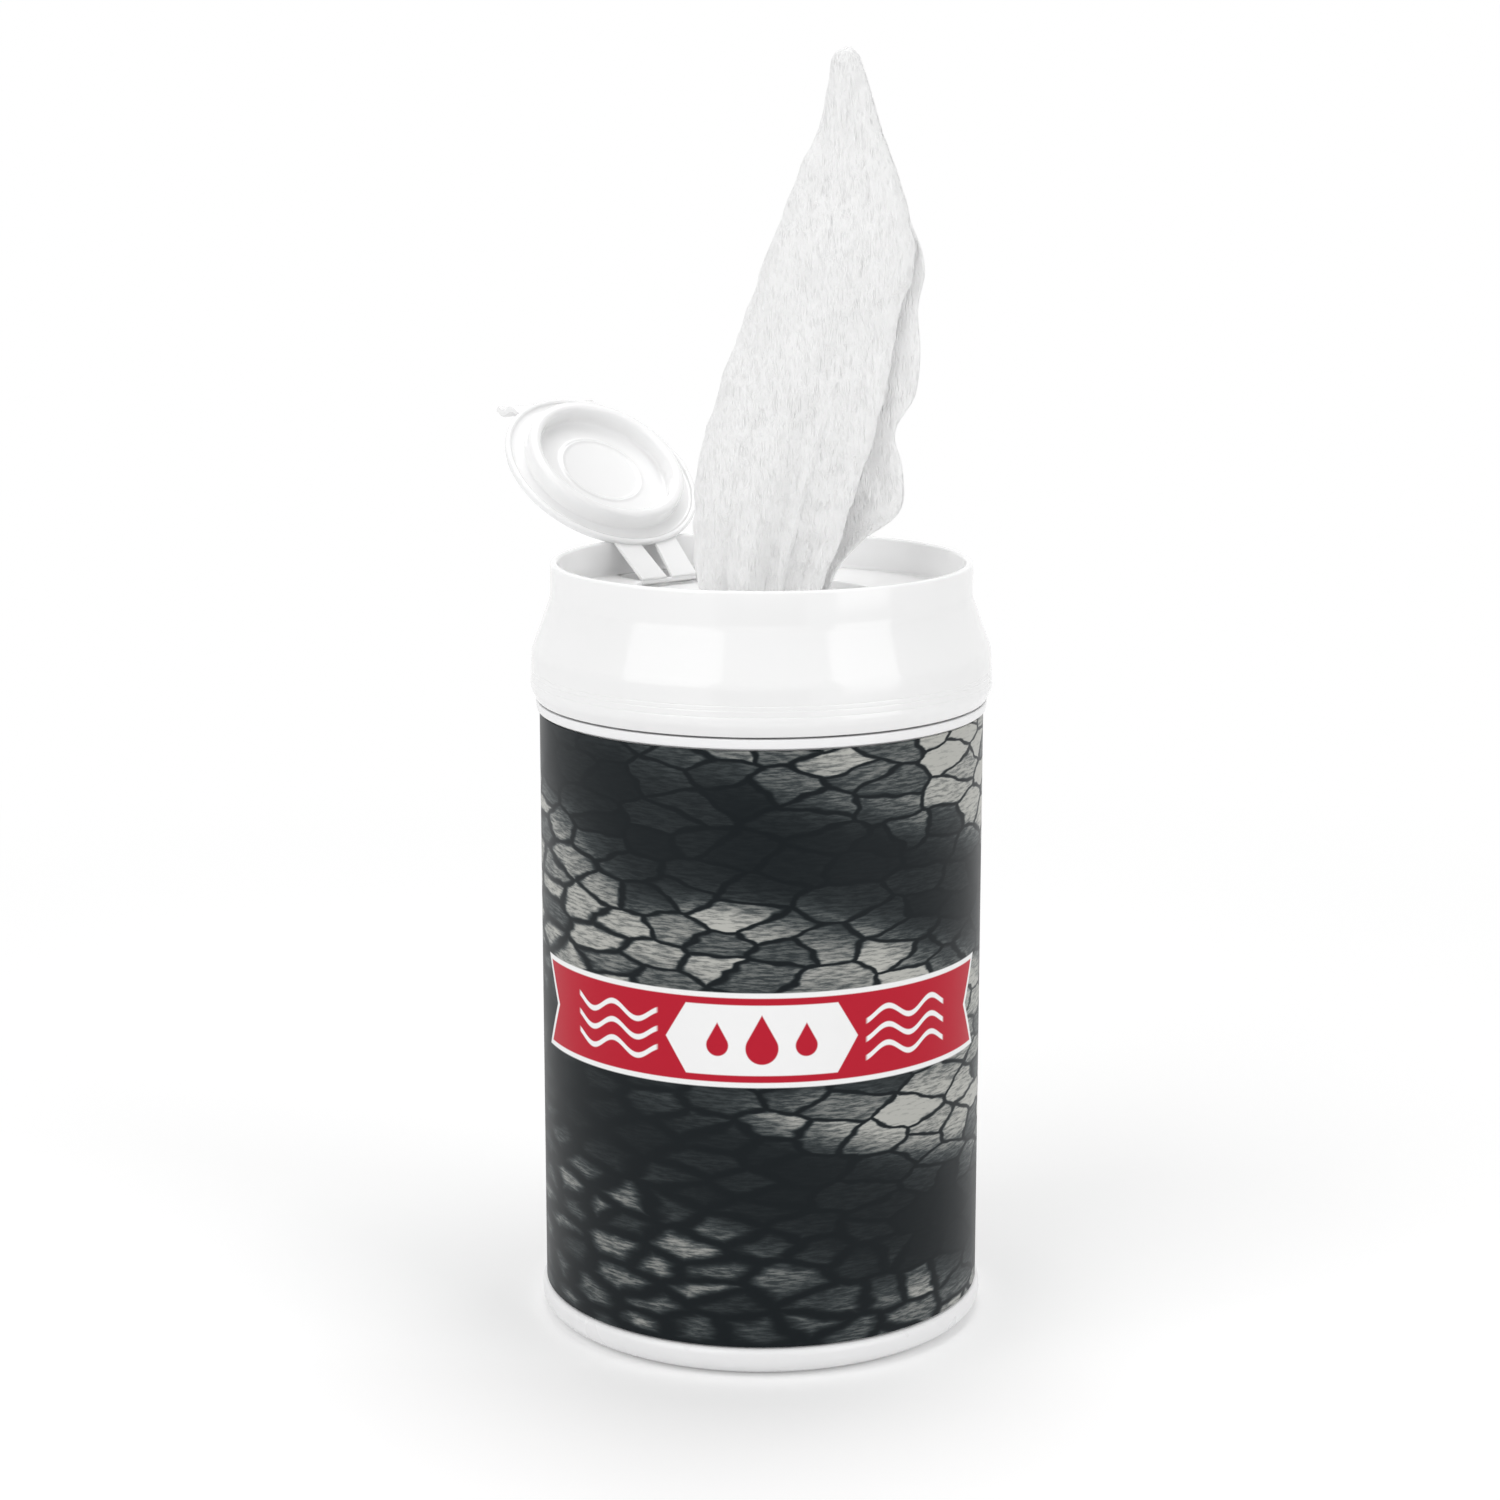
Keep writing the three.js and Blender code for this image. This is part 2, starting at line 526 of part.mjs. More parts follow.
// The wipe as a folded sheet: a back layer, a round fold on the left, and a front layer.
function pulledWipe() {
  const levels = 25;
  const across = 24;
  const columns = [1, 2, 3, 4].map(wipeColumn);
  const tailBottom = ROLL_TOP - WIPE_TAIL_DEPTH;
  const tailRow = (z, half) => ({ z, left: -half, front: 0.8 * half, back: half, deep: 1.3 * half });
  const halfway = (WIPE_TAIL_HALF_WIDTH + NECK_HALF_WIDTH) / 2;
  const rows = [
    tailRow(tailBottom, WIPE_TAIL_HALF_WIDTH),
    tailRow((tailBottom + HOLE_BOTTOM) / 2, halfway),
    tailRow(HOLE_BOTTOM, NECK_HALF_WIDTH),
  ];
  for (let i = 0; i <= levels; i += 1) {
    const [left, front, back, deep] = columns.map((column) => column(i / levels));
    rows.push({ z: HOLE_TOP + left.x, left: left.y, front: front.y, back: back.y, deep: deep.y });
  }
  const middle = rows.map((row) => sectionOf(row, across));
  return toSolid(thicken(middle, WIPE_THICKNESS));
}

// One level of the wipe: points along the sheet from the back layer's free edge, round the
// left fold, to the front layer's free edge.
function sectionOf({ z, left, front, back, deep }, across) {
  const points = [];
  const gathered = THREE.MathUtils.clamp(1 - (z - HOLE_TOP) / 40, 0, 1);
  for (let i = 0; i <= across; i += 1) {
    const t = i / across;
    const isFront = t > 0.5;
    const u = isFront ? (t - 0.5) * 2 : 1 - t * 2;
    const right = isFront ? front : back;
    const reach = 1 - Math.cos((u * Math.PI) / 2) ** 1.5;
    const x = left + (right - left) * reach;
    const bulge = Math.sin(Math.PI * Math.min(u + 0.08, 1) ** 0.8) ** 0.7;
    const ripple = (0.35 + 0.65 * gathered) * Math.sin(u * 2.4 * Math.PI + z / 26);
    const half = (deep / 2 - WIPE_THICKNESS) * bulge;
    const depth = half + ripple * Math.min(half, 1) * 0.8;
    const settle = isFront ? -0.7 : 0.7;
    const y = (isFront ? -depth : depth) + settle * Math.min(u * 6, 1);
    points.push(new THREE.Vector3(x, y, z));
  }
  return points;
}

// A closed skin of even thickness round a grid of points.
function thicken(grid, thickness) {
  const rows = grid.length;
  const cols = grid[0].length;
  const at = (i, j) => grid[Math.min(Math.max(i, 0), rows - 1)][Math.min(Math.max(j, 0), cols - 1)];
  const front = [];
  const behind = [];
  for (let i = 0; i < rows; i += 1) {
    for (let j = 0; j < cols; j += 1) {
      const along = at(i, j + 1).clone().sub(at(i, j - 1));
      const up = at(i + 1, j).clone().sub(at(i - 1, j));
      const normal = along.cross(up).setZ(0).normalize().multiplyScalar(thickness / 2);
      front.push(...at(i, j).clone().add(normal).toArray());
      behind.push(...at(i, j).clone().sub(normal).toArray());
    }
  }
  const count = rows * cols;
  const faces = [];
  const quad = (a, b, c, d) => faces.push(a, b, c, a, c, d);
  for (let i = 0; i < rows - 1; i += 1) {
    for (let j = 0; j < cols - 1; j += 1) {
      const a = i * cols + j;
      const [b, c, d] = [a + 1, a + cols + 1, a + cols];
      quad(a, b, c, d);
      quad(count + a, count + d, count + c, count + b);
    }
  }
  for (let j = 0; j < cols - 1; j += 1) {
    const top = (rows - 1) * cols + j;
    quad(j, count + j, count + j + 1, j + 1);
    quad(top, top + 1, count + top + 1, count + top);
  }
  for (let i = 0; i < rows - 1; i += 1) {
    const a = i * cols;
    const b = a + cols - 1;
    quad(a, a + cols, count + a + cols, count + a);
    quad(b, count + b, count + b + cols, b + cols);
  }
  const geometry = new THREE.BufferGeometry();
  geometry.setAttribute('position', new THREE.Float32BufferAttribute([...front, ...behind], 3));
  geometry.setIndex(faces);
  return geometry;
}

function part(name, solid, color, roughness) {
  const material = new THREE.MeshStandardMaterial({ color, roughness, metalness: 0 });
  const mesh = new THREE.Mesh(toGeometry(solid), material);
  mesh.name = name;
  return mesh;
}

const WHITE_PLASTIC = 0xf4f4f3;
const dispenser = new THREE.Group();
dispenser.name = 'wet_wipes_dispenser';
dispenser.add(part('can_body', canBody(), WHITE_PLASTIC, 0.35));
dispenser.add(part('wrap_label', wrapLabel(), 0x23292b, 0.4));
dispenser.add(part('screw_cap', screwCap(), WHITE_PLASTIC, 0.25));
dispenser.add(part('wipe_roll', wipeRoll(), 0xf2f2f0, 0.9));
dispenser.add(part('pulled_wipe', pulledWipe(), 0xf7f7f6, 0.9));

// The lid hangs in two nested groups: one at the hinge, facing the can's axis, and one that
// swings it open.
const hinge = new THREE.Group();
const hingeAngle = radians(LID_AZIMUTH);
hinge.position.set(
  HINGE_RADIUS * Math.cos(hingeAngle),
  HINGE_RADIUS * Math.sin(hingeAngle),
  HINGE_Z,
);
hinge.rotation.z = hingeAngle + Math.PI;
const swing = new THREE.Group();
swing.rotation.y = -radians(LID_OPEN);
swing.add(part('flip_lid', flipLid(), WHITE_PLASTIC, 0.3));
hinge.add(swing);
dispenser.add(hinge);

export default dispenser;
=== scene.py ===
# %% [markdown]
# A can of wet wipes, dressed for the camera.
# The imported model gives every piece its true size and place. This lesson builds finer
# skins round those pieces (a turned can, a moulded cap, a flip lid, a printed film and one
# drawn wipe), then gives each its own finish, and lights them softly on a pale floor.

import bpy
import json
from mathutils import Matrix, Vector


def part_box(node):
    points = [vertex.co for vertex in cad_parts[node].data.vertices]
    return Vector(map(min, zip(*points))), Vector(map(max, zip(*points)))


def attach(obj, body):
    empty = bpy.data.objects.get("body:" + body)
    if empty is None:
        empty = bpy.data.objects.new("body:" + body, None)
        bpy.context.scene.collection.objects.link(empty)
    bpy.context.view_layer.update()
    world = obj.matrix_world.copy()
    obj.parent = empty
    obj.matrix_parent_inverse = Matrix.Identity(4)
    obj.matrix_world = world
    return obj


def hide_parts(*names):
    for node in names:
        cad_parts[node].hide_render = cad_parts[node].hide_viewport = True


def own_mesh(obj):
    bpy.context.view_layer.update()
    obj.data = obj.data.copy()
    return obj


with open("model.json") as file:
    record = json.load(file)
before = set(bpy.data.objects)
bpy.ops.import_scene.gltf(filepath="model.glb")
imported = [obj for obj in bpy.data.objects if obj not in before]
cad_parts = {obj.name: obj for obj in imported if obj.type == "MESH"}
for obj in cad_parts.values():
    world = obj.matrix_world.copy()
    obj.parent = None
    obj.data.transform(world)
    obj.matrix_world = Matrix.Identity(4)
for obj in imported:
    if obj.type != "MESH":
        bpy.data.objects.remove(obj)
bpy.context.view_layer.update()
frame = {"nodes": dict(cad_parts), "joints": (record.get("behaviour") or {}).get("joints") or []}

# %% Libraries and units
import json
import math

import bmesh
import bpy
import numpy as np
from mathutils import Matrix, Vector, noise

MM = 0.001  # one millimetre in Blender's metres
SPIN_STEPS = 384  # points round each turned shape
SMOOTH_ANGLE = math.radians(32)  # edges sharper than this stay sharp

# %% [markdown]
# Sizes that the pieces share could be typed in again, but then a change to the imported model
# would leave the skins behind. So they come from the frame: each CAD node's box gives its
# radius and height, and the joint of the lid gives the hinge line and how far it opens.

# %% Read the driving sizes off the frame
def box_mm(node):
    """Lowest and highest corner of a CAD node, in millimetres."""
    low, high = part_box(node)
    return low / MM, high / MM


_, can_high = box_mm("can_body")
cap_low, cap_high = box_mm("screw_cap")
label_low, label_high = box_mm("wrap_label")
wipe_low, _ = box_mm("pulled_wipe")
joints = {joint["name"]: joint for joint in frame["joints"]}
hinge_point = Vector(joints["lid_hinge"]["pos_m"]) / MM
hinge_azimuth = math.atan2(hinge_point.y, hinge_point.x)
lid_open = math.radians(joints["lid_hinge"]["range_deg"][1])

BASE_BEAD_RADIUS = can_high.x  # the widest part of the can
SKIRT_RADIUS = cap_high.x
RIM_TOP = cap_high.z
print("skirt radius", SKIRT_RADIUS, "rim at", RIM_TOP, "hinge at", list(hinge_point))

# %% [markdown]
# Turned and moulded shapes are all made one way here. They could be cylinders with bevels
# and booleans, but those leave ragged faces where a tray meets a round wall. Here a shape
# is a stack of rings, each with a height and a radius, and the radius may be one number or
# one for each angle. So a plain can and a cap with a tray of another outline come from the
# same small function, and every edge gets the true rounding that catches light on plastic.

# %% A mesh object from points and faces
ANGLES = np.linspace(0, 2 * math.pi, SPIN_STEPS, endpoint=False)
WELD_GAP = 1e-7  # points nearer to each other than this, in metres, become one


def new_object(name, vertices, faces):
    """A mesh object from points in millimetres and faces, smooth but for its sharp edges."""
    mesh = bpy.data.meshes.new(name)
    mesh.from_pydata([tuple(np.asarray(v, float) * MM) for v in vertices], [], faces)
    shape = bmesh.new()
    shape.from_mesh(mesh)
    bmesh.ops.remove_doubles(shape, verts=shape.verts, dist=WELD_GAP)
    bmesh.ops.recalc_face_normals(shape, faces=shape.faces)
    shape.to_mesh(mesh)
    shape.free()
    mesh.shade_smooth()
    mesh.set_sharp_from_angle(angle=SMOOTH_ANGLE)
    made = bpy.data.objects.new(name, mesh)
    bpy.context.scene.collection.objects.link(made)
    return made


# %% Helpers that turn rings into a mesh
def soften(corners, steps=4):
    """A path through (radius, height, cut) corners, each rounded over the length of its cut."""
    points = [np.array(corner[:2], float) for corner in corners]
    path = [points[0]]
    for before, here, after, corner in zip(points, points[1:], points[2:], corners[1:]):
        cut = corner[2]
        if cut <= 0:
            path.append(here)
            continue
        start = here + (before - here) / np.linalg.norm(before - here) * cut
        end = here + (after - here) / np.linalg.norm(after - here) * cut
        for t in np.linspace(0, 1, steps + 1):
            path.append((1 - t) ** 2 * start + 2 * t * (1 - t) * here + t**2 * end)
    path.append(points[-1])
    return path


def ring(radius, height, angles):
    """The points of one ring: radius and height are numbers, or arrays over the angles."""
    radius = np.broadcast_to(radius, angles.shape)
    height = np.broadcast_to(height, angles.shape)
    return np.stack([radius * np.cos(angles), radius * np.sin(angles), height], axis=1)


def stack_rings(rings, closed=True):
    """Vertices and faces of a skin through rings of equal length."""
    count = len(rings[0])
    vertices = np.concatenate(rings)
    faces = []
    rows = len(rings)
    for i in range(rows if closed else rows - 1):
        a, b = i * count, (i + 1) % rows * count
        for j in range(count):
            k = (j + 1) % count
            faces.append((a + j, a + k, b + k, b + j))
    return vertices, faces


def turned(name, stations, angles=ANGLES):
    """A closed turned body from (radius, height) stations that run all the way round it."""
    vertices, faces = stack_rings([ring(r, z, angles) for r, z in stations])
    return new_object(name, vertices, faces)


print("each ring has", SPIN_STEPS, "points")

# %% [markdown]
# The can is one blow-moulded body. Only its base bead and the bead under the cap show when
# the pack is shut, and the lower part of the neck shows as the cap is turned off. It could
# be a plain cylinder there, but then it would look solid through its mouth. So the inside
# follows the outside at the thickness of the wall, and the thread is a bulge of the rings.

# %% The can's sizes
WALL = 1.1
PANEL_RADIUS = 34.45  # the straight part that carries the label
BASE_BEAD_HEIGHT = 4.7
FOOT_RADIUS, FOOT_WIDTH = 33, 6  # the ring on which the can stands
PAD_RADIUS = 8  # the pad in the middle of the underside
BASE_RECESS = 0.8
FLOOR_TOP, HEEL_TOP = 2.2, 3.3  # inside, over the plane of the foot
SHOULDER_BEAD_RADIUS = 35.6
SHOULDER_BEAD_TOP = cap_low.z - 0.3
SHOULDER_BEAD_Z = SHOULDER_BEAD_TOP - 1.5
NECK_RADIUS = 33.2
NECK_STRAIGHT_TOP = 108.8
MOUTH_RADIUS = 32.3
MOUTH_Z = can_high.z
THREAD_PITCH = 4
THREAD_TURNS = 1.2
THREAD_FADE = 0.12  # turns over which the thread dies out at each end
THREAD_REACH = 0.9
THREAD_START = SHOULDER_BEAD_TOP + 3.2
THREAD_ROWS = 40
print("can mouth at", round(MOUTH_Z, 2), "mm, thread from", round(THREAD_START, 2), "mm")


# %% The can
def thread_ridge(height):
    """How far the neck's round thread stands out at one height, for every angle."""
    ridge = np.zeros_like(ANGLES)
    for lap in range(math.ceil(THREAD_TURNS) + 1):
        turn = lap + ANGLES / (2 * math.pi)
        ends = np.clip(np.minimum(turn, THREAD_TURNS - turn) / THREAD_FADE, 0, 1)
        off = (height - THREAD_START - turn * THREAD_PITCH) / THREAD_REACH
        ridge = np.maximum(ridge, THREAD_REACH * ends * np.sqrt(np.clip(1 - off**2, 0, 1)))
    return ridge


def make_can():
    """The can's skin: each corner is a radius, a height and how far it is rounded."""
    foot_inner = FOOT_RADIUS - FOOT_WIDTH
    outside = soften([
        (PAD_RADIUS, 0, 0),
        (PAD_RADIUS + BASE_RECESS, BASE_RECESS, 0.3),
        (foot_inner - BASE_RECESS, BASE_RECESS, 0.3),
        (foot_inner, 0, 0.3),
        (FOOT_RADIUS - 0.3, 0, 0.5),
        (BASE_BEAD_RADIUS, 1.5, 1.3),
        (BASE_BEAD_RADIUS, BASE_BEAD_HEIGHT, 1),
        (PANEL_RADIUS, BASE_BEAD_HEIGHT + 0.1, 0.2),
        (PANEL_RADIUS, SHOULDER_BEAD_Z, 0.1),
        (SHOULDER_BEAD_RADIUS - 0.15, SHOULDER_BEAD_Z, 0.3),
        (SHOULDER_BEAD_RADIUS, SHOULDER_BEAD_TOP, 0.25),
        (NECK_RADIUS, SHOULDER_BEAD_TOP, 0.3),
        (NECK_RADIUS, THREAD_START - THREAD_REACH - 0.1, 0),
    ])
    neck = []
    for z in np.linspace(THREAD_START - THREAD_REACH, NECK_STRAIGHT_TOP + 1, THREAD_ROWS):
        neck.append((NECK_RADIUS + thread_ridge(z), z))
    inside = soften([
        (MOUTH_RADIUS, NECK_STRAIGHT_TOP + 2.2, 0),
        (MOUTH_RADIUS, MOUTH_Z, 0.3),
        (MOUTH_RADIUS - WALL, MOUTH_Z, 0.3),
        (MOUTH_RADIUS - WALL, SHOULDER_BEAD_Z - WALL, 0.8),
        (PANEL_RADIUS - WALL, SHOULDER_BEAD_Z - 3 * WALL, 0.8),
        (PANEL_RADIUS - WALL, HEEL_TOP, 0.6),
        (PANEL_RADIUS - 2 * WALL, FLOOR_TOP, 0.6),
        (1, FLOOR_TOP, 0),
    ])
    centre = [(0, FLOOR_TOP), (0, 0)]
    return turned("can_shell", [*outside, *neck, *inside, *centre])


can = make_can()
print("can", len(can.data.polygons), "faces")

# %% [markdown]
# The label is a printed film, wrapped once round the can and lapped at the back. It could be
# a colour on the can itself, but the lap is what tells a wrapped film from a printed can.
# So it is a ribbon of its own, as thick as a film, whose end climbs over its start.

# %% The film label
FILM_THICKNESS = 0.3
FILM_INNER_RADIUS = PANEL_RADIUS + 0.3
LAP_START = math.radians(100)
LAP_ANGLE = math.radians(8)
LAP_CLIMB = 0.36  # how far the upper end lifts, in millimetres
FILM_STEPS = 360
FILM_EDGE = 0.08


def make_label():
    """One ribbon swept round the panel, closed at its two ends."""
    turn = np.linspace(0, 2 * math.pi + LAP_ANGLE, FILM_STEPS)
    climb = np.clip((turn - 2 * math.pi + LAP_ANGLE) / LAP_ANGLE, 0, 1)
    base = FILM_INNER_RADIUS + LAP_CLIMB * climb**2 * (3 - 2 * climb)
    angles = LAP_START + turn
    low, high = label_low.z, label_high.z
    section = [
        (0, low), (FILM_THICKNESS - FILM_EDGE, low), (FILM_THICKNESS, low + FILM_EDGE),
        (FILM_THICKNESS, high - FILM_EDGE), (FILM_THICKNESS - FILM_EDGE, high), (0, high),
    ]
    columns = [ring(base + out, z, angles) for out, z in section]
    vertices = np.concatenate(columns)
    faces = []
    for i in range(len(section)):
        a, b = i * FILM_STEPS, (i + 1) % len(section) * FILM_STEPS
        for j in range(FILM_STEPS - 1):
            faces.append((a + j, a + j + 1, b + j + 1, b + j))
    for end in (0, FILM_STEPS - 1):
        faces.append(tuple(i * FILM_STEPS + end for i in range(len(section))))
    return new_object("film_label", vertices, faces)


label = make_label()
print("label", len(label.data.polygons), "faces")

# %% [markdown]
# The cap is the largest moulding. Seen from its own axis it is a collar round a deck, and
# every ring of it is a circle but for two: the tray that takes the lid, and the slit hole.
# They could be cut in with booleans. But both outlines can be seen whole from the axis, so
# each is written as a radius for every angle, and the cap stays one clean skin of quads.

# %% The cap's sizes
CAP_WALL = 1.2
CAP_RIM_RADIUS = 33.2
DECK_RADIUS = CAP_RIM_RADIUS - CAP_WALL
CAP_SHOULDER_RADIUS = 36.15
CAP_SHOULDER_Z = 108.4
CAP_RIM_Z = 116.4
SKIRT_CHAMFER_IN, SKIRT_CHAMFER_UP = 1.0, 2.0
RING_HEIGHTS = (3.1, 4.1, 4.8)  # faint rings over the foot of the skirt
RING_DEPTH, RING_HALF, RING_EDGE = 0.05, 0.12, 0.03
DECK_Z = RIM_TOP - 5.5
TRAY_Z = DECK_Z - 1.5
TRAY_HALF_WIDTH = 18.5
TRAY_END_RADIUS = 29
TRAY_SHOULDER_X = -12
TRAY_SHOULDER_RUN, TRAY_SHOULDER_DROP = 4.2, 3
SLOT_HALF_WIDTH = 6
SLOT_START, SLOT_END = 22.9, 30.6
POCKET_RADIUS = 17.7
POCKET_Z = hinge_point.z - 1.7
DISH_RADIUS = 14.1
DISH_Z = POCKET_Z - 2.6
BEAD_RADIUS = 15.4
BEAD_HEIGHT = 0.5
SEAL_RADIUS = MOUTH_RADIUS - WALL - 0.3  # a ring that plugs the mouth of the can
SEAL_WIDTH = 1
SEAL_LENGTH, SEAL_CHAMFER_Z = 3.4, 2.8  # under the tray
SKIN = 1.1
ORIFICE_RADIUS = 5.4
SLITS = 6
SLIT_HALF_WIDTH = 0.4
SLIT_REACH = 10
EDGE = 0.35  # rounding of a moulded edge
print("deck at", round(DECK_Z, 2), "mm, tray", round(TRAY_Z, 2), "mm, dish", round(DISH_Z, 2), "mm")


# %% The cap's outlines
def circle(radius):
    """An outline function for a plain circle: it grows outwards by what it is given."""
    return lambda grow=0.0: np.full_like(ANGLES, radius + grow)


def polygon_radius(corners, angles):
    """Distance from the axis to a closed polygon, along each angle."""
    direction = np.stack([np.cos(angles), np.sin(angles)], axis=1)
    found = np.full(angles.shape, np.inf)
    nearly_none, slack = 1e-9, 1e-6
    for start, end in zip(corners, corners[1:] + corners[:1]):
        start, side = np.array(start, float), np.array(end, float) - np.array(start, float)
        cross = direction[:, 0] * side[1] - direction[:, 1] * side[0]
        cross = np.where(np.abs(cross) < nearly_none, nearly_none, cross)
        reach = (start[0] * side[1] - start[1] * side[0]) / cross
        along = (start[0] * direction[:, 1] - start[1] * direction[:, 0]) / cross
        hit = (reach > 0) & (along >= -slack) & (along <= 1 + slack)
        found = np.where(hit & (reach < found), reach, found)
    return found


def tray(grow=0.0):
    """The tray's outline: straight sides, shoulders, and a slot that runs behind the hinge."""
    side, slot = TRAY_HALF_WIDTH + grow, SLOT_HALF_WIDTH + grow
    beyond_cap = 60
    upper = [
        (beyond_cap, side),
        (TRAY_SHOULDER_X, side),
        (TRAY_SHOULDER_X - TRAY_SHOULDER_RUN, side - TRAY_SHOULDER_DROP),
        (-SLOT_START, slot),
        (-SLOT_END - grow, slot),
    ]
    corners = upper + [(x, -y) for x, y in reversed(upper)]
    local = ANGLES - hinge_azimuth - math.pi
    sides = polygon_radius(corners, local)
    # The polygon is cut off by the circle under the tab, but not in the slot.
    facing_tab = np.cos(local) > 0
    radius = np.where(facing_tab, np.minimum(sides, TRAY_END_RADIUS + grow), sides)
    # A short moving average rounds the outline's corners as a moulding tool would.
    kernel = np.array([1, 2, 3, 2, 1], float) / 9
    padded = np.concatenate([radius[-2:], radius, radius[:2]])
    return np.convolve(padded, kernel, mode="valid")


def slit_hole(grow=0.0):
    """The hole that grips the wipe: a circle with short slits round it."""
    pitch = 2 * math.pi / SLITS
    local = (ANGLES - hinge_azimuth + pitch / 2) % pitch - pitch / 2
    wall = (SLIT_HALF_WIDTH + grow) / np.maximum(np.abs(np.sin(local)), 1e-3)
    slit = np.minimum(wall, SLIT_REACH + grow)
    return np.maximum(ORIFICE_RADIUS + grow, slit)


print("tray reaches", round(tray().min(), 1), "to", round(tray().max(), 1), "mm from the axis")


# %% Walls and rings of the cap
def step(outline, top, bottom, edge=EDGE):
    """Rings down a wall, from the face above it to the face below, with both edges rounded."""
    path = soften([(edge, top, 0), (0, top, edge), (0, bottom, edge), (-edge, bottom, 0)], 3)
    return [(outline(grow), z) for grow, z in path]


def faint_rings(foot):
    """Corners of the shallow rings that the tool leaves round the foot of the skirt."""
    slope = (CAP_SHOULDER_RADIUS - SKIRT_RADIUS) / (CAP_SHOULDER_Z - foot)
    corners = []
    for height in RING_HEIGHTS:
        middle = SKIRT_RADIUS + slope * height
        corners += [(middle - slope * RING_HALF, foot + height - RING_HALF, RING_EDGE),
                    (middle - RING_DEPTH, foot + height, RING_EDGE),
                    (middle + slope * RING_HALF, foot + height + RING_HALF, RING_EDGE)]
    return corners


# %% The cap
def make_cap():
    """The cap's skin, from the foot of the skirt over the rim to the hole and back under."""
    inner_skirt = CAP_SHOULDER_RADIUS - CAP_WALL
    skirt_foot = cap_low.z
    outer = soften([
        (inner_skirt + 0.2, skirt_foot, 0),
        (SKIRT_RADIUS - SKIRT_CHAMFER_IN, skirt_foot, 0.15),
        (SKIRT_RADIUS, skirt_foot + SKIRT_CHAMFER_UP, 0.7),
        *faint_rings(skirt_foot),
        (CAP_SHOULDER_RADIUS, CAP_SHOULDER_Z, 0.8),
        (CAP_RIM_RADIUS, CAP_RIM_Z, 0.7),
        (CAP_RIM_RADIUS, RIM_TOP, 0.5),
        (DECK_RADIUS, RIM_TOP, 0.5),
        (DECK_RADIUS, DECK_Z, 0.6),
        (DECK_RADIUS - 0.9, DECK_Z, 0),
    ], 6)
    bead = soften([
        (BEAD_RADIUS + 0.8, POCKET_Z, 0),
        (BEAD_RADIUS + 0.6, POCKET_Z, 0.15),
        (BEAD_RADIUS + 0.25, POCKET_Z + BEAD_HEIGHT, 0.2),
        (BEAD_RADIUS - 0.25, POCKET_Z + BEAD_HEIGHT, 0.2),
        (BEAD_RADIUS - 0.6, POCKET_Z, 0.15),
        (BEAD_RADIUS - 0.8, POCKET_Z, 0),
    ], 3)
    under = [
        (DISH_RADIUS + SKIN, DISH_Z - SKIN),
        (DISH_RADIUS + SKIN, POCKET_Z - SKIN),
        (POCKET_RADIUS + SKIN, POCKET_Z - SKIN),
        (POCKET_RADIUS + SKIN, TRAY_Z - SKIN),
        (SEAL_RADIUS - SEAL_WIDTH, TRAY_Z - SKIN),
        (SEAL_RADIUS - SEAL_WIDTH, TRAY_Z - SEAL_LENGTH),
        (SEAL_RADIUS - 0.2, TRAY_Z - SEAL_LENGTH),
        (SEAL_RADIUS, TRAY_Z - SEAL_CHAMFER_Z),
        (SEAL_RADIUS, TRAY_Z - SKIN),
        (DECK_RADIUS - 0.4, DECK_Z - 1.3),
        (inner_skirt, CAP_SHOULDER_Z - 0.6),
        (inner_skirt, skirt_foot + 0.3),
    ]
    stations = [
        *outer,
        *step(tray, DECK_Z, TRAY_Z),
        *step(circle(POCKET_RADIUS), TRAY_Z, POCKET_Z, 0.25),
        *bead,
        *step(circle(DISH_RADIUS), POCKET_Z, DISH_Z, 0.3),
        *step(slit_hole, DISH_Z, DISH_Z - SKIN, 0.2)[:-1],
        *under,
    ]
    return turned("cap_shell", stations)


cap = make_cap()
print("cap", len(cap.data.polygons), "faces")

# %% [markdown]
# The lid is a thin disc with a tab to lift it by, a plug ring that seals the dish, and two
# straps on which it bends. It could be drawn open, where it stands, but a tilted shape is
# hard to measure. So it is built shut and flat in a frame of its own, where x runs from the
# hinge line to the tab and the outer face is z = 0. One matrix then swings it open on the
# cap's hinge, the same way as the real lid goes.

# %% The lid's sizes
LID_RADIUS = 17
LID_EDGE_Z = -1.4
LID_SKIN_Z = -1
LID_MIDDLE = 0.01  # a tiny ring in place of a point
RAISED_RING, RAISED_HALF, RAISED_HEIGHT = 7, 0.5, 0.25
PLUG_RADIUS = 13.8
PLUG_INNER = 11.7
PLUG_FOOT = -4
LID_CENTRE = math.hypot(hinge_point.x, hinge_point.y)
OVER_TRAY = TRAY_Z + 0.3 - hinge_point.z
STRAP_TOP = OVER_TRAY + 0.6
STRAP_EDGE = 0.15
STRAP_AT_HINGE, STRAP_AT_DISC = (0.5, 5.5), (1.6, 6.1)  # inner and outer side
STRAP_OVERLAP = 1.6
HINGE_HALF_LENGTH = 5.5
HINGE_LINE_RADIUS = 0.4
HINGE_LINE_STEPS = 24
TAB_HALF_WIDTH = 8.5
TAB_REACH, TAB_RISE, TAB_THICKNESS = 20.4, 3.8, 1.1
LID_ANGLES = np.linspace(0, 2 * math.pi, 192, endpoint=False)
print("lid", 2 * LID_RADIUS, "mm wide, open by", round(math.degrees(lid_open), 1), "degrees")


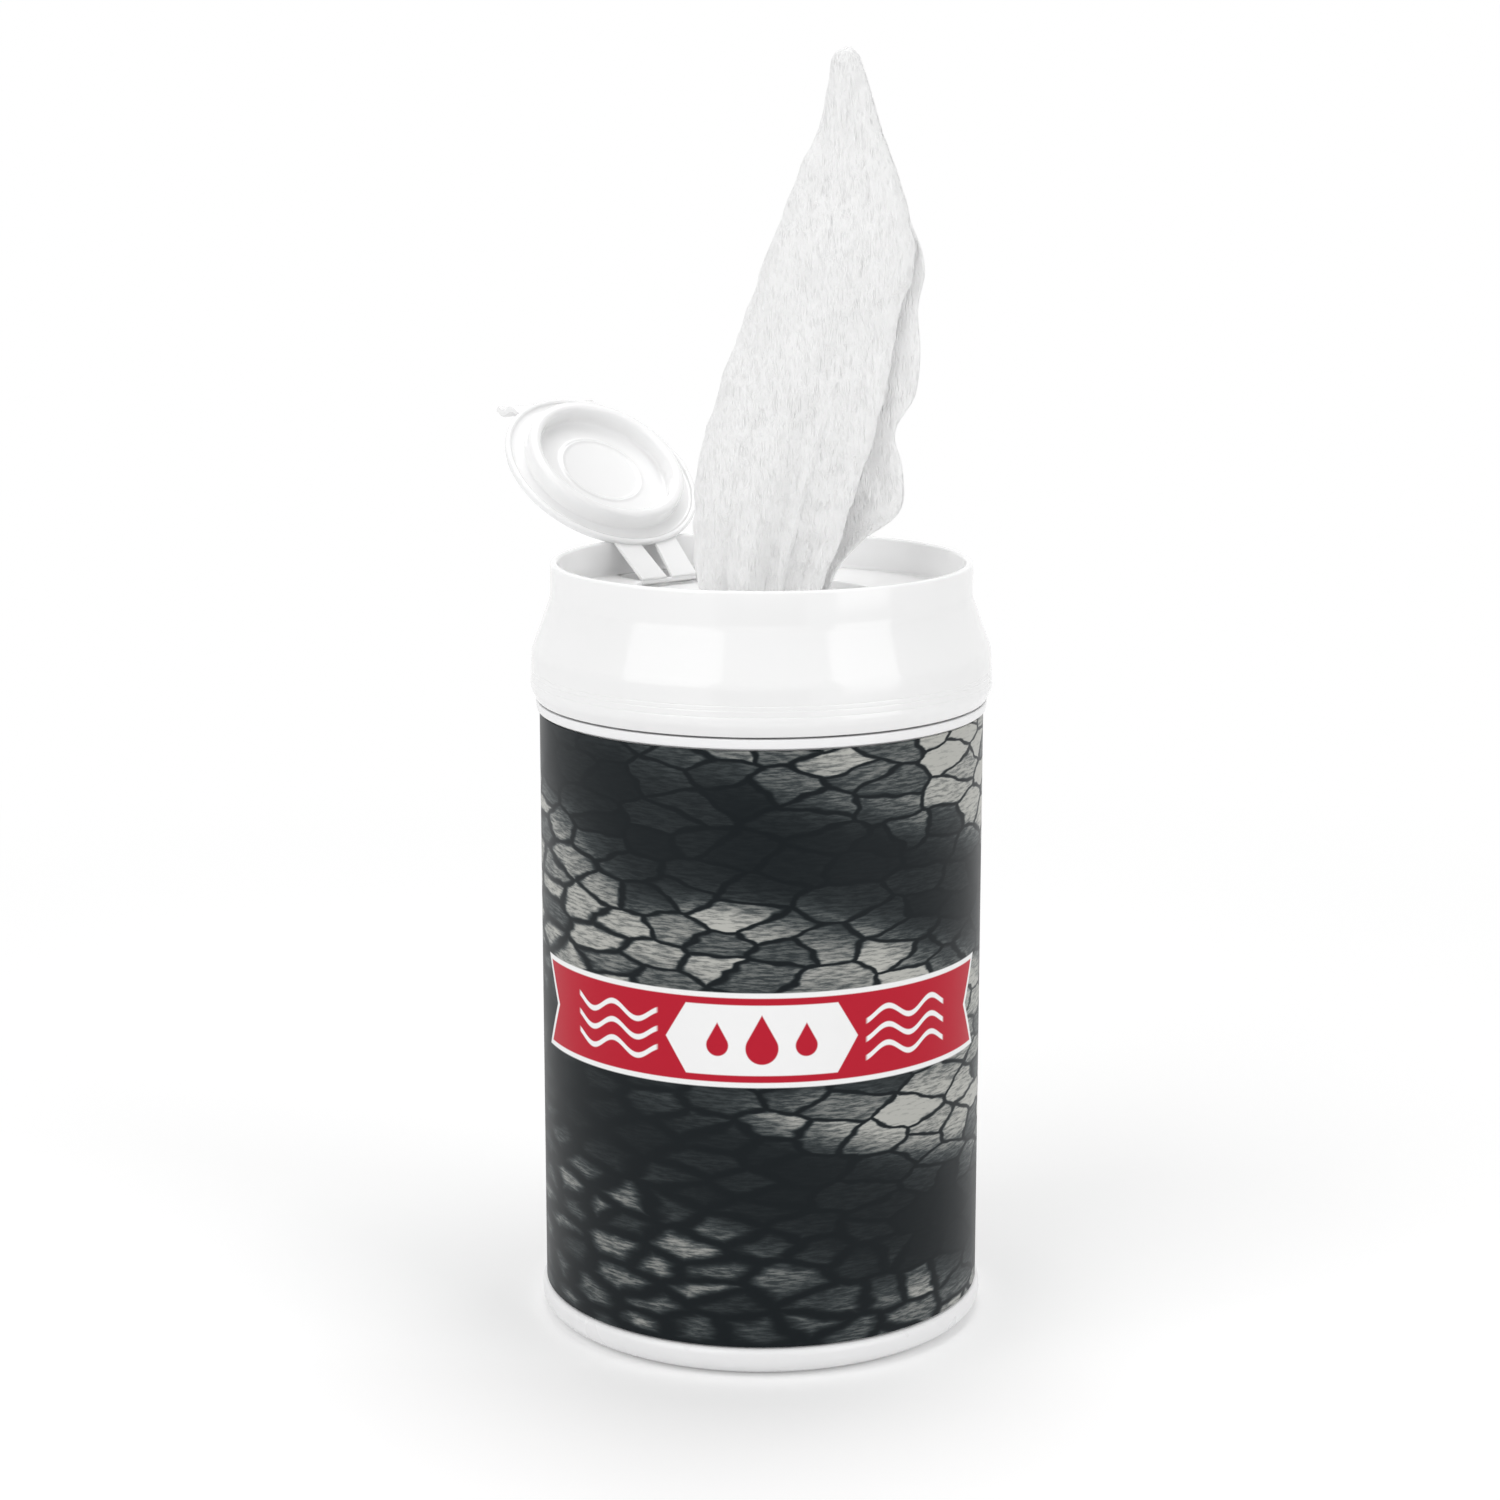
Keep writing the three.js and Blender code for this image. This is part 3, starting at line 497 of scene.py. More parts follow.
# %% The lid's disc
def lid_disc():
    """The disc with its raised ring and its plug ring, turned round its own middle."""
    path = soften([
        (RAISED_RING + 0.9, LID_SKIN_Z, 0),
        (RAISED_RING + RAISED_HALF, LID_SKIN_Z, 0.3),
        (RAISED_RING, LID_SKIN_Z - RAISED_HEIGHT, 0.3),
        (RAISED_RING - RAISED_HALF, LID_SKIN_Z, 0.3),
        (LID_MIDDLE, LID_SKIN_Z, 0),
        (LID_MIDDLE, 0, 0),
        (LID_RADIUS, 0, 0.9),
        (LID_RADIUS, LID_EDGE_Z, 0.4),
        (LID_RADIUS - 0.75, LID_EDGE_Z, 0.3),
        (LID_RADIUS - 1.1, LID_SKIN_Z, 0.3),
        (PLUG_RADIUS - 0.05, LID_SKIN_Z, 0.3),
        (PLUG_RADIUS, PLUG_FOOT, 0.9),
        (PLUG_INNER, PLUG_FOOT, 0.8),
        (PLUG_INNER - 0.1, LID_SKIN_Z, 0.7),
        (RAISED_RING + 1.2, LID_SKIN_Z, 0),
    ], 5)
    return stack_rings([ring(r, z, LID_ANGLES) + (LID_CENTRE, 0, 0) for r, z in path])


print("lid disc", len(lid_disc()[1]), "faces")


# %% The lid's tab and straps
def swept(outline, half_width, round_off=0.3):
    """A solid of one side view (x, z), drawn across y, with its two ends eased in."""
    outline = np.array(outline, float)
    to_middle = outline.mean(axis=0) - outline
    to_middle /= np.linalg.norm(to_middle, axis=1)[:, None]
    layers = []
    for inset, y in ((round_off, -half_width), (0, round_off - half_width),
                     (0, half_width - round_off), (round_off, half_width)):
        flat = outline + to_middle * inset
        layers.append(np.stack([flat[:, 0], np.full(len(flat), y), flat[:, 1]], axis=1))
    count = len(outline)
    vertices = np.concatenate(layers)
    faces = [tuple(range(count)), tuple(range(3 * count, 4 * count))]
    for i in range(3):
        for j in range(count):
            k = (j + 1) % count
            faces.append((i * count + j, i * count + k, (i + 1) * count + k, (i + 1) * count + j))
    return vertices, faces


def curve_points(start, control, end, steps=8):
    """Points of a quadratic curve, without its last one."""
    start, control, end = (np.array(p, float) for p in (start, control, end))
    return [(1 - t) ** 2 * start + 2 * t * (1 - t) * control + t**2 * end
            for t in np.linspace(0, 1, steps, endpoint=False)]


def lid_tab():
    """The tab in side view: out from the disc's underside, up, and back over its top."""
    edge, lip = LID_CENTRE + LID_RADIUS, LID_CENTRE + TAB_REACH - 0.3
    root, rise, under = edge - 2, TAB_RISE, TAB_RISE - TAB_THICKNESS
    curves = (
        ((root, OVER_TRAY), (edge + 0.6, OVER_TRAY), (edge + 1.2, 1.2)),
        ((edge + 1.2, 1.2), (edge + 1.8, under), (lip, under)),
        ((lip, under), (lip + 0.65, rise - TAB_THICKNESS / 2), (lip, rise)),
        ((lip, rise), (edge + 0.8, rise), (edge, 1.6)),
        ((edge, 1.6), (edge - 0.6, 0), (root, -0.05)),
    )
    outline = [point for curve in curves for point in curve_points(*curve)]
    return swept(outline, TAB_HALF_WIDTH)


def lid_strap(side):
    """One of the two straps of the hinge, a thin plate that widens towards the disc."""
    end = LID_CENTRE - LID_RADIUS + STRAP_OVERLAP
    corners = [(0, STRAP_AT_HINGE[0]), (0, STRAP_AT_HINGE[1]),
               (end, STRAP_AT_DISC[1]), (end, STRAP_AT_DISC[0])]
    vertices, faces = [], []
    levels = ((STRAP_EDGE, OVER_TRAY), (0, OVER_TRAY + STRAP_EDGE),
              (0, STRAP_TOP - STRAP_EDGE), (STRAP_EDGE, STRAP_TOP))
    centre = np.mean(corners, axis=0)
    for inset, z in levels:
        for corner in np.array(corners, float):
            x, y = corner + (centre - corner) / np.linalg.norm(centre - corner) * inset
            vertices.append((x, side * y, z))
    for i in range(3):
        for j in range(4):
            k = (j + 1) % 4
            faces.append((i * 4 + j, i * 4 + k, i * 4 + 4 + k, i * 4 + 4 + j))
    faces += [(0, 1, 2, 3), (12, 13, 14, 15)]
    return np.array(vertices), faces


def lid_roll():
    """The rounded line on which the straps bend."""
    steps, end, full = HINGE_LINE_STEPS, HINGE_HALF_LENGTH, HINGE_LINE_RADIUS
    angles = np.linspace(0, 2 * math.pi, steps, endpoint=False)
    half = [(end, 0.02), (end, full - 0.12), (end - 0.12, full)]
    path = [(-y, r) for y, r in half] + half[::-1]
    rings = [np.stack([r * np.cos(angles), np.full(steps, y), r * np.sin(angles)], axis=1)
             for y, r in path]
    vertices, faces = stack_rings(rings, closed=False)
    last = (len(path) - 1) * steps
    return vertices, faces + [tuple(range(steps)), tuple(range(last, last + steps))]


print("tab", len(lid_tab()[1]), "faces, each strap", len(lid_strap(1)[1]), "faces")


# %% Joining shapes
def join_shapes(*shapes):
    """Puts several (vertices, faces) shapes into one list of each."""
    vertices, faces, start = [], [], 0
    for points, loops in shapes:
        vertices.extend(points)
        faces.extend(tuple(start + i for i in loop) for loop in loops)
        start += len(points)
    return vertices, faces


# %% The flip lid
def make_lid():
    """All the lid's shapes as one mesh, swung open on the hinge line."""
    parts = join_shapes(lid_disc(), lid_tab(), lid_strap(1), lid_strap(-1), lid_roll())
    made = new_object("lid_shell", *parts)
    place = (
        Matrix.Translation(hinge_point * MM)
        @ Matrix.Rotation(hinge_azimuth + math.pi, 4, "Z")
        @ Matrix.Rotation(-lid_open, 4, "Y")
    )
    made.data.transform(place)
    return made


lid = make_lid()
print("lid", len(lid.data.polygons), "faces")

# %% [markdown]
# The block under the hinge is part of the cap's moulding. It stands in the slot of the
# tray, just under the line on which the straps bend. The rings of the cap can't hold it, as
# it doesn't run round the axis, so it is a small swept shape that sinks into the tray.

# %% The hinge block
BLOCK_BACK, BLOCK_FRONT = 1.8, 0.1  # behind the hinge line
BLOCK_GAP = 0.75  # under the hinge line
BLOCK_SINK = 0.2
BLOCK_EDGE = 0.1


def make_hinge_block():
    top, foot = hinge_point.z - BLOCK_GAP, TRAY_Z - BLOCK_SINK
    back, front = -LID_CENTRE - BLOCK_BACK, -LID_CENTRE - BLOCK_FRONT
    outline = [(back, foot), (front, foot), (front, top - BLOCK_EDGE), (front - BLOCK_EDGE, top),
               (back + BLOCK_EDGE, top), (back, top - BLOCK_EDGE)]
    made = new_object("hinge_block", *swept(outline, SLOT_HALF_WIDTH + 0.1, 0.05))
    made.data.transform(Matrix.Rotation(hinge_azimuth + math.pi, 4, "Z"))
    return made


hinge_block = make_hinge_block()
print("hinge block", len(hinge_block.data.polygons), "faces")

# %% [markdown]
# The drawn wipe is one sheet of nonwoven cloth, gathered in the hole and pulled up to a
# corner. A cloth simulation could drop it into place, but damp cloth that is held at its
# foot stands up in folds that a simulation seldom finds. So it is drawn level by level. Its
# section at every height is one curve: it starts at the free edge of the back layer, turns
# round the fold on the left, comes back as the front layer, and folds in at the right.

# %% The wipe's outline
HOLE_TOP = DISH_Z + 0.3
HOLE_BOTTOM = DISH_Z - SKIN - 0.3
NECK = ORIFICE_RADIUS - 0.6  # half the width of the gathered cloth in the hole
TAIL = 3.4  # and at its end, on top of the roll
# Height over the hole, left fold, right fold of the front, free edge of the back, depth.
WIPE_ROWS = [
    (0, -NECK, 0.8 * NECK, NECK, 1.8 * NECK),
    (1.4, -6.6, 5.6, 7, 8.6),
    (3.8, -9.2, 8.4, 9.7, 8),
    (9, -10.3, 10, 12, 8.6),
    (13, -10.4, 11.6, 15.6, 9),
    (17.5, -10.1, 12.9, 21.4, 9),
    (24, -9.4, 15.1, 21.9, 8.8),
    (30, -8.1, 16.8, 20.6, 8.4),
    (35.5, -6.3, 18.4, 23.7, 8),
    (42, -4.1, 19.6, 24.5, 7.4),
    (49, -1.5, 20.6, 24, 6.8),
    (55.5, 0.8, 22.6, 25, 6),
    (62, 3.5, 21.8, 23, 5.2),
    (69, 5.6, 20.4, 21.1, 4.4),
    (75, 7.8, 18.4, 18.9, 3.6),
    (82, 9.8, 16.3, 16.7, 2.8),
    (87, 10.8, 14.6, 14.9, 2.4),
    (88.5, 12.9, 13.4, 13.5, 1),
]
WIPE_TOP = WIPE_ROWS[-1][0]
WIPE_LEVELS = 205
WIPE_ACROSS = 200
WIPE_THICKNESS = 0.34
print("wipe stands", WIPE_TOP, "mm over the hole")


# %% Curves through the wipe's points
def spline(points, count):
    """Catmull-Rom curve through the points, at an even count of places."""
    points = np.array(points, float)
    ends = np.vstack([2 * points[0] - points[1], points, 2 * points[-1] - points[-2]])
    place = np.linspace(0, len(points) - 1, count)
    index = np.minimum(place.astype(int), len(points) - 2)
    t = (place - index)[:, None]
    p0, p1, p2, p3 = (ends[index + k] for k in range(4))
    return 0.5 * (2 * p1 + (p2 - p0) * t + (2 * p0 - 5 * p1 + 4 * p2 - p3) * t**2
                  + (3 * p1 - p0 - 3 * p2 + p3) * t**3)


# Shares of the way from the left fold to the layer's other edge, and of the depth.
BACK_LAYER = [(1.0, 0.0), (0.72, 0.32), (0.4, 0.5), (0.12, 0.36), (0.0, 0.02)]
FRONT_LAYER = [(0.1, -0.33), (0.35, -0.5), (0.7, -0.42), (0.94, -0.24), (1.0, -0.1),
               (0.93, 0.0), (0.7, 0.06), (0.4, 0.05)]


def section(left, front, back, deep):
    """One level of the wipe, from the back's free edge round both folds."""
    path = [(left + (back - left) * share, y * deep) for share, y in BACK_LAYER]
    path += [(left + (front - left) * share, y * deep) for share, y in FRONT_LAYER]
    return spline(path, WIPE_ACROSS)


print("one level of the wipe has", len(section(*WIPE_ROWS[0][1:])), "points")

# %% [markdown]
# Three kinds of fold lie over that outline. Broad soft folds and a tucked edge are listed one
# by one, where the cloth leaves the hole. Even pleats run up from the hole and die out.
# Crumples come from smooth noise at three sizes, since no hand places those well. All of
# them push the cloth along its own normal, so that the sheet stays in one piece.

# %% The wipe's folds
# Where a fold lies across the sheet (0 to 1), its width, its depth, and how high it runs.
SOFT_FOLDS = [(0.462, 0.018, -1.7, 32), (0.515, 0.02, 1.1, 40), (0.545, 0.013, -1.1, 34),
              (0.2, 0.03, 1.3, 30), (0.12, 0.02, -0.9, 24)]
FOLD_LEAN = 0.0006  # share of the sheet by which a fold shifts with each millimetre up
TUCK_START, TUCK_END, TUCK_DEPTH, TUCK_HEIGHT = 0.577, 0.668, 1.9, 30
TUCK_IN, TUCK_OUT = 0.012, 0.03
PLEAT_DEPTH, PLEAT_TURNS, PLEAT_HEIGHT = 0.45, 17, 26
PLEAT_SWING, PLEAT_SWING_RISE = 0.8, 17
SWAY_DEPTH, SWAY_TURNS, SWAY_RISE, SWAY_FULL = 0.5, 5.2, 19, 20
# Depth, size and seed of each crumple, and how much it is drawn out upwards.
CRUMPLES = [(0.9, 9, 3, 0.45), (0.35, 3.2, 11, 1), (0.16, 1.3, 23, 0.6)]
CALM_FOOT, CALM_TIP, TIP_SHARE = 6, 14, 0.08


def eased(value, low, high):
    """0 below low, 1 above high, with an even turn between them."""
    t = np.clip((value - low) / (high - low), 0, 1)
    return t * t * (3 - 2 * t)


def long_folds(across, height):
    """How far the soft folds and the tucked edge push the cloth out, in millimetres."""
    push = np.zeros_like(across)
    for place, width, depth, top in SOFT_FOLDS:
        lean = place + FOLD_LEAN * height
        push += depth * np.exp(-((across - lean) / width) ** 2) * math.exp(-max(height, 0) / top)
    tucked = eased(across, TUCK_START, TUCK_START + TUCK_IN)
    tucked = tucked * (1 - eased(across, TUCK_END - TUCK_OUT, TUCK_END))
    return push - TUCK_DEPTH * tucked * math.exp(-max(height, 0) / TUCK_HEIGHT)


def crumple(point, size, seed):
    """Smooth noise at one scale, the same at every run."""
    return noise.noise(Vector(point) / size + Vector((seed, 0, 0)))


def freedom(height):
    """0 to 1: no fold pushes into the rim of the hole, and few blunt the tip."""
    off_foot = min(max(height / CALM_FOOT, 0), 1)
    return off_foot * min(max((WIPE_TOP - height) / CALM_TIP, 0) + TIP_SHARE, 1)


print("folds placed by hand:", len(SOFT_FOLDS), "and a tucked edge", TUCK_DEPTH, "mm deep")


# %% The wipe's grid of points
def wipe_rows():
    """The outline's rows, with the gathered tail under the hole, smoothed to every level."""
    tail_low, tail_high = wipe_low.z - HOLE_TOP, HOLE_BOTTOM - HOLE_TOP
    half = (TAIL + NECK) / 2
    tail = [(tail_low, -TAIL, 0.8 * TAIL, TAIL, 1.3 * TAIL),
            ((tail_low + tail_high) / 2, -half, 0.8 * half, half, 1.3 * half),
            (tail_high, -NECK, 0.8 * NECK, NECK, 1.8 * NECK)]
    return spline(tail + WIPE_ROWS, WIPE_LEVELS)


def wipe_grid():
    """A point for each level and each place across the cloth."""
    grid = np.zeros((WIPE_LEVELS, WIPE_ACROSS, 3))
    across = np.linspace(0, 1, WIPE_ACROSS)
    for i, (height, left, front, back, deep) in enumerate(wipe_rows()):
        curve = section(left, front, back, deep)
        along = np.gradient(curve, axis=0)
        normal = np.stack([along[:, 1], -along[:, 0]], axis=1)
        normal /= np.maximum(np.linalg.norm(normal, axis=1), 1e-6)[:, None]
        gather = PLEAT_DEPTH * math.exp(-max(height, 0) / PLEAT_HEIGHT)
        swing = PLEAT_SWING * math.sin(height / PLEAT_SWING_RISE)
        folds = gather * np.sin(across * PLEAT_TURNS * math.pi + swing)
        folds += long_folds(across, height)
        sway = SWAY_DEPTH * np.sin(across * SWAY_TURNS * math.pi + height / SWAY_RISE)
        folds += sway * min(height / SWAY_FULL, 1)
        points = np.column_stack([curve, np.full(WIPE_ACROSS, HOLE_TOP + height)])
        for j, point in enumerate(points):
            fold = folds[j] + sum(depth * crumple(point * (1, 1, drawn_out), size, seed)
                                  for depth, size, seed, drawn_out in CRUMPLES)
            points[j, :2] += normal[j] * fold * freedom(height)
        grid[i] = points
    return grid


# %% The wipe as a sheet
def make_wipe():
    """The grid as faces, given the cloth's thickness."""
    grid = wipe_grid()
    rows, cols = grid.shape[:2]
    faces = [(i * cols + j, i * cols + j + 1, (i + 1) * cols + j + 1, (i + 1) * cols + j)
             for i in range(rows - 1) for j in range(cols - 1)]
    made = new_object("drawn_wipe_sheet", grid.reshape(-1, 3), faces)
    thick = made.modifiers.new("thickness", "SOLIDIFY")
    thick.thickness = WIPE_THICKNESS * MM
    thick.offset = 0
    bpy.context.view_layer.objects.active = made
    bpy.ops.object.modifier_apply(modifier=thick.name)
    return made


wipe = make_wipe()
sheet_area = sum(face.area for face in wipe.data.polygons) / 2
print("wipe", len(wipe.data.polygons), "faces, cloth area", round(sheet_area * 1e4, 1), "cm2")

# %% [markdown]
# Finishes come next. They could be painted pictures, but a picture blurs close up and needs
# an unwrapped mesh. So every finish is worked out by nodes from the place on the piece. Small
# helpers keep the recipes short: one makes a node and sets its inputs, one does arithmetic,
# and one opens a new group with named sockets.

# %% Helpers for nodes
def plug(tree, value, socket):
    """Links a socket to an input, or sets the input to a plain value."""
    if isinstance(value, bpy.types.NodeSocket):
        tree.links.new(value, socket)
    else:
        socket.default_value = value


def add_node(tree, kind, **inputs):
    """A node with some of its inputs set by name."""
    made = tree.nodes.new(kind)
    for name, value in inputs.items():
        plug(tree, value, made.inputs[name.replace("_", " ")])
    return made


def calc(tree, operation, *values):
    """One step of arithmetic on sockets or numbers."""
    made = tree.nodes.new("ShaderNodeMath")
    made.operation = operation
    for socket, value in zip(made.inputs, values):
        plug(tree, value, socket)
    return made.outputs[0]


def smooth_step(tree, value, low, high):
    """0 below low, 1 above high, and an even turn between them."""
    made = tree.nodes.new("ShaderNodeMapRange")
    made.interpolation_type = "SMOOTHSTEP"
    for name, given in (("Value", value), ("From Min", low), ("From Max", high)):
        plug(tree, given, made.inputs[name])
    return made.outputs["Result"]


def blend_colours(tree, share, first, second):
    """A mix of two colours by a mask."""
    made = tree.nodes.new("ShaderNodeMix")
    made.data_type = "RGBA"
    colour_inputs = [socket for socket in made.inputs if socket.type == "RGBA"]
    for socket, value in zip([made.inputs[0], *colour_inputs], (share, first, second)):
        plug(tree, value, socket)
    return next(socket for socket in made.outputs if socket.type == "RGBA")


def noise_value(tree, place, scale, detail=3.0, roughness=0.5):
    """Cloudy noise between 0 and 1, with its scale in features per metre."""
    made = add_node(tree, "ShaderNodeTexNoise", Vector=place, Scale=scale, Detail=detail)
    made.inputs["Roughness"].default_value = roughness
    return made.outputs["Fac"]


def stretched(tree, place, turn, scale):
    """Object coordinates, turned and then stretched along their own axes."""
    made = add_node(tree, "ShaderNodeMapping", Vector=place)
    made.inputs["Rotation"].default_value = turn
    made.inputs["Scale"].default_value = scale
    return made.outputs["Vector"]


def tint(tree, colour, share):
    """A colour made darker by a share that changes over the surface."""
    made = add_node(tree, "ShaderNodeVectorMath", Vector=colour)
    made.operation = "SCALE"
    plug(tree, share, made.inputs["Scale"])
    return made.outputs["Vector"]


# %% Helpers for groups and materials
def new_group(name, inputs, outputs):
    """A shader node group: inputs are (name, kind, default) and outputs (name, kind)."""
    tree = bpy.data.node_groups.new(name, "ShaderNodeTree")
    for label_text, kind, default in inputs:
        socket = tree.interface.new_socket(label_text, in_out="INPUT", socket_type=kind)
        socket.default_value = default
    for label_text, kind in outputs:
        tree.interface.new_socket(label_text, in_out="OUTPUT", socket_type=kind)
    return tree, tree.nodes.new("NodeGroupInput"), tree.nodes.new("NodeGroupOutput")


def use_group(tree, group, **inputs):
    """Places a group in a material with its own values."""
    made = tree.nodes.new("ShaderNodeGroup")
    made.node_tree = group
    for name, value in inputs.items():
        made.inputs[name.replace("_", " ")].default_value = value
    return made


def bump(tree, height, distance):
    """Turns a height into a normal; the distance is how deep height 1 is, in metres."""
    return add_node(tree, "ShaderNodeBump", Height=height, Distance=distance).outputs["Normal"]


def new_material(name):
    """A material with its tree and its Principled shader."""
    material = bpy.data.materials.new(name)
    material.use_nodes = True
    return material, material.node_tree, material.node_tree.nodes["Principled BSDF"]


def spread_under_skin(shader, share, reach):
    """Lets a share of the light travel under the skin, by a reach in millimetres."""
    shader.inputs["Subsurface Weight"].default_value = share
    shader.inputs["Subsurface Radius"].default_value = (1.0, 1.0, 1.0)
    shader.inputs["Subsurface Scale"].default_value = reach * MM


FLOAT, COLOUR = "NodeSocketFloat", "NodeSocketColor"

# %% [markdown]
# Every white moulding here shares one look. Moulded polypropylene is never quite even: it
# has faint cloudy flow marks, a sheen that wanders a little, and a skin with tiny waves in
# it, which bends each reflection. A flat white shader would look like paper. So one group
# makes all three, and each material sets their strength for itself.

# %% The look of moulded plastic, as a group
FLOW_SCALE, SHEEN_SCALE, WAVE_SCALE, PORE_SCALE = 60, 140, 90, 2600  # features in a metre
FLOW_STRETCH = (1, 1, 0.5)
PORE_SHARE = 0.02
WAVE_DEPTH = 0.04 * MM
POLYPROPYLENE_IOR = 1.49
LIGHT_REACH = 1.2  # millimetres that light travels under the skin


def moulded_group():
    """Colour, roughness and height of a moulded skin."""
    tree, given, out = new_group(
        "moulded_plastic",
        [("Base", COLOUR, (0.88, 0.88, 0.88, 1)), ("Cloud", FLOAT, 0.02),
         ("Sheen Low", FLOAT, 0.2), ("Sheen High", FLOAT, 0.3), ("Waves", FLOAT, 1.0)],
        [("Color", COLOUR), ("Roughness", FLOAT), ("Height", FLOAT)])
    place = tree.nodes.new("ShaderNodeTexCoord").outputs["Object"]
    flow = noise_value(tree, stretched(tree, place, (0, 0, 0), FLOW_STRETCH), FLOW_SCALE, 4)
    darker = calc(tree, "MULTIPLY", flow, given.outputs["Cloud"])
    shade = calc(tree, "SUBTRACT", 1.0, darker)
    tree.links.new(tint(tree, given.outputs["Base"], shade), out.inputs["Color"])
    patch = noise_value(tree, place, SHEEN_SCALE, 2)
    spread = calc(tree, "SUBTRACT", given.outputs["Sheen High"], given.outputs["Sheen Low"])
    sheen = calc(tree, "MULTIPLY_ADD", patch, spread, given.outputs["Sheen Low"])
    tree.links.new(sheen, out.inputs["Roughness"])
    wave = noise_value(tree, place, WAVE_SCALE, 2)
    pore = noise_value(tree, place, PORE_SCALE, 2)
    height = calc(tree, "MULTIPLY_ADD", pore, PORE_SHARE, wave)
    tree.links.new(calc(tree, "MULTIPLY", height, given.outputs["Waves"]), out.inputs["Height"])
    return tree


MOULDED = moulded_group()
print("group", MOULDED.name, "has", len(MOULDED.nodes), "nodes")


# %% The white plastics
def moulded_material(name, base, sheen, cloud, waves, glow):
    """White plastic: glow is the share of light that spreads under the skin."""
    material, tree, shader = new_material(name)
    look = use_group(tree, MOULDED, Base=base, Cloud=cloud, Waves=waves,
                     Sheen_Low=sheen[0], Sheen_High=sheen[1])
    tree.links.new(look.outputs["Color"], shader.inputs["Base Color"])
    tree.links.new(look.outputs["Roughness"], shader.inputs["Roughness"])
    tree.links.new(bump(tree, look.outputs["Height"], WAVE_DEPTH), shader.inputs["Normal"])
    shader.inputs["IOR"].default_value = POLYPROPYLENE_IOR
    spread_under_skin(shader, glow, LIGHT_REACH)
    return material


can_plastic = moulded_material("can_plastic", base=(0.9, 0.9, 0.905, 1), sheen=(0.24, 0.34),
                               cloud=0.03, waves=1.0, glow=0.2)
cap_plastic = moulded_material("cap_plastic", base=(0.9, 0.9, 0.9, 1), sheen=(0.07, 0.12),
                               cloud=0.02, waves=0.5, glow=0.25)
print("plastics:", can_plastic.name, cap_plastic.name)

# %% [markdown]
# The cloth of the wipes is a web of fine fibres pressed together wet. Close up it shows
# short strands that lie every way, thin and thick patches, and a soft pitted face. Real
# hairs would be far too many to model. So three stretched noises at different turns make
# the strands, a slow noise makes the thin patches, and the same group dresses the roll and
# the drawn wipe.

# %% The fibre web, as a group
STRAND_TURNS = (0.3, 1.2, -0.7)
STRAND_STRETCH = (1, 1, 0.2)
STRAND_NARROW = 7.0  # the higher, the finer each strand
THIN_SCALE, PIT_SCALE = 170, 700
GAP_SHADE, PIT_SHARE = 0.02, 0.8


def fibre_group():
    """Colour and height of nonwoven cloth."""
    tree, given, out = new_group(
        "fibre_web",
        [("Base", COLOUR, (0.9, 0.9, 0.9, 1)), ("Thin Patches", FLOAT, 0.1),
         ("Strand Scale", FLOAT, 1300.0)],
        [("Color", COLOUR), ("Height", FLOAT)])
    place = tree.nodes.new("ShaderNodeTexCoord").outputs["Object"]
    strands = None
    for turn in STRAND_TURNS:
        lying = stretched(tree, place, (0.2, turn, 0), STRAND_STRETCH)
        cloudy = noise_value(tree, lying, given.outputs["Strand Scale"], 2)
        ridge = calc(tree, "ABSOLUTE", calc(tree, "SUBTRACT", cloudy, 0.5))
        strand = calc(tree, "SUBTRACT", 1.0, calc(tree, "MULTIPLY", ridge, STRAND_NARROW))
        strand = calc(tree, "MAXIMUM", strand, 0.0)
        strands = strand if strands is None else calc(tree, "MAXIMUM", strands, strand)
    patch = smooth_step(tree, noise_value(tree, place, THIN_SCALE, 4, 0.6), 0.38, 0.7)
    loss = calc(tree, "MULTIPLY", patch, given.outputs["Thin Patches"])
    gap = calc(tree, "MULTIPLY", calc(tree, "SUBTRACT", 1.0, strands), GAP_SHADE)
    shade = calc(tree, "SUBTRACT", calc(tree, "SUBTRACT", 1.0, loss), gap)
    tree.links.new(tint(tree, given.outputs["Base"], shade), out.inputs["Color"])
    pits = noise_value(tree, place, PIT_SCALE, 3, 0.6)
    tree.links.new(calc(tree, "MULTIPLY_ADD", pits, PIT_SHARE, strands), out.inputs["Height"])
    return tree


FIBRES = fibre_group()
print("group", FIBRES.name, "has", len(FIBRES.nodes), "nodes")

# %% The two cloths
CLOTH_ROUGHNESS = 0.85
CLOTH_SPECULAR = 0.25
CLOTH_GLOW, CLOTH_REACH = 0.3, 0.8


def cloth_material(name, base, thin, depth):
    """Nonwoven cloth: thin is how dark its thin patches are, depth its height in millimetres."""
    material, tree, shader = new_material(name)
    look = use_group(tree, FIBRES, Base=base, Thin_Patches=thin)
    tree.links.new(look.outputs["Color"], shader.inputs["Base Color"])
    tree.links.new(bump(tree, look.outputs["Height"], depth * MM), shader.inputs["Normal"])
    shader.inputs["Roughness"].default_value = CLOTH_ROUGHNESS
    shader.inputs["Specular IOR Level"].default_value = CLOTH_SPECULAR
    spread_under_skin(shader, CLOTH_GLOW, CLOTH_REACH)
    return material


wipe_cloth = cloth_material("wipe_cloth", base=(0.99, 0.99, 0.99, 1), thin=0.03, depth=0.18)
roll_cloth = cloth_material("roll_cloth", base=(0.86, 0.86, 0.85, 1), thin=0.12, depth=0.2)
print("cloths:", wipe_cloth.name, roll_cloth.name)

# %% [markdown]
# The print on the film is an invented one: broken slate in near-black, mid grey and pale
# grey, in wide bands that climb to the right, and a red badge with a white border, three
# drops, and three waves on each side. It could be a picture wrapped round the can. Here the
# film is unrolled by its angle into millimetres along and up instead, and every motif is a
# distance in that flat sheet, so that its edges stay sharp however near the camera comes.

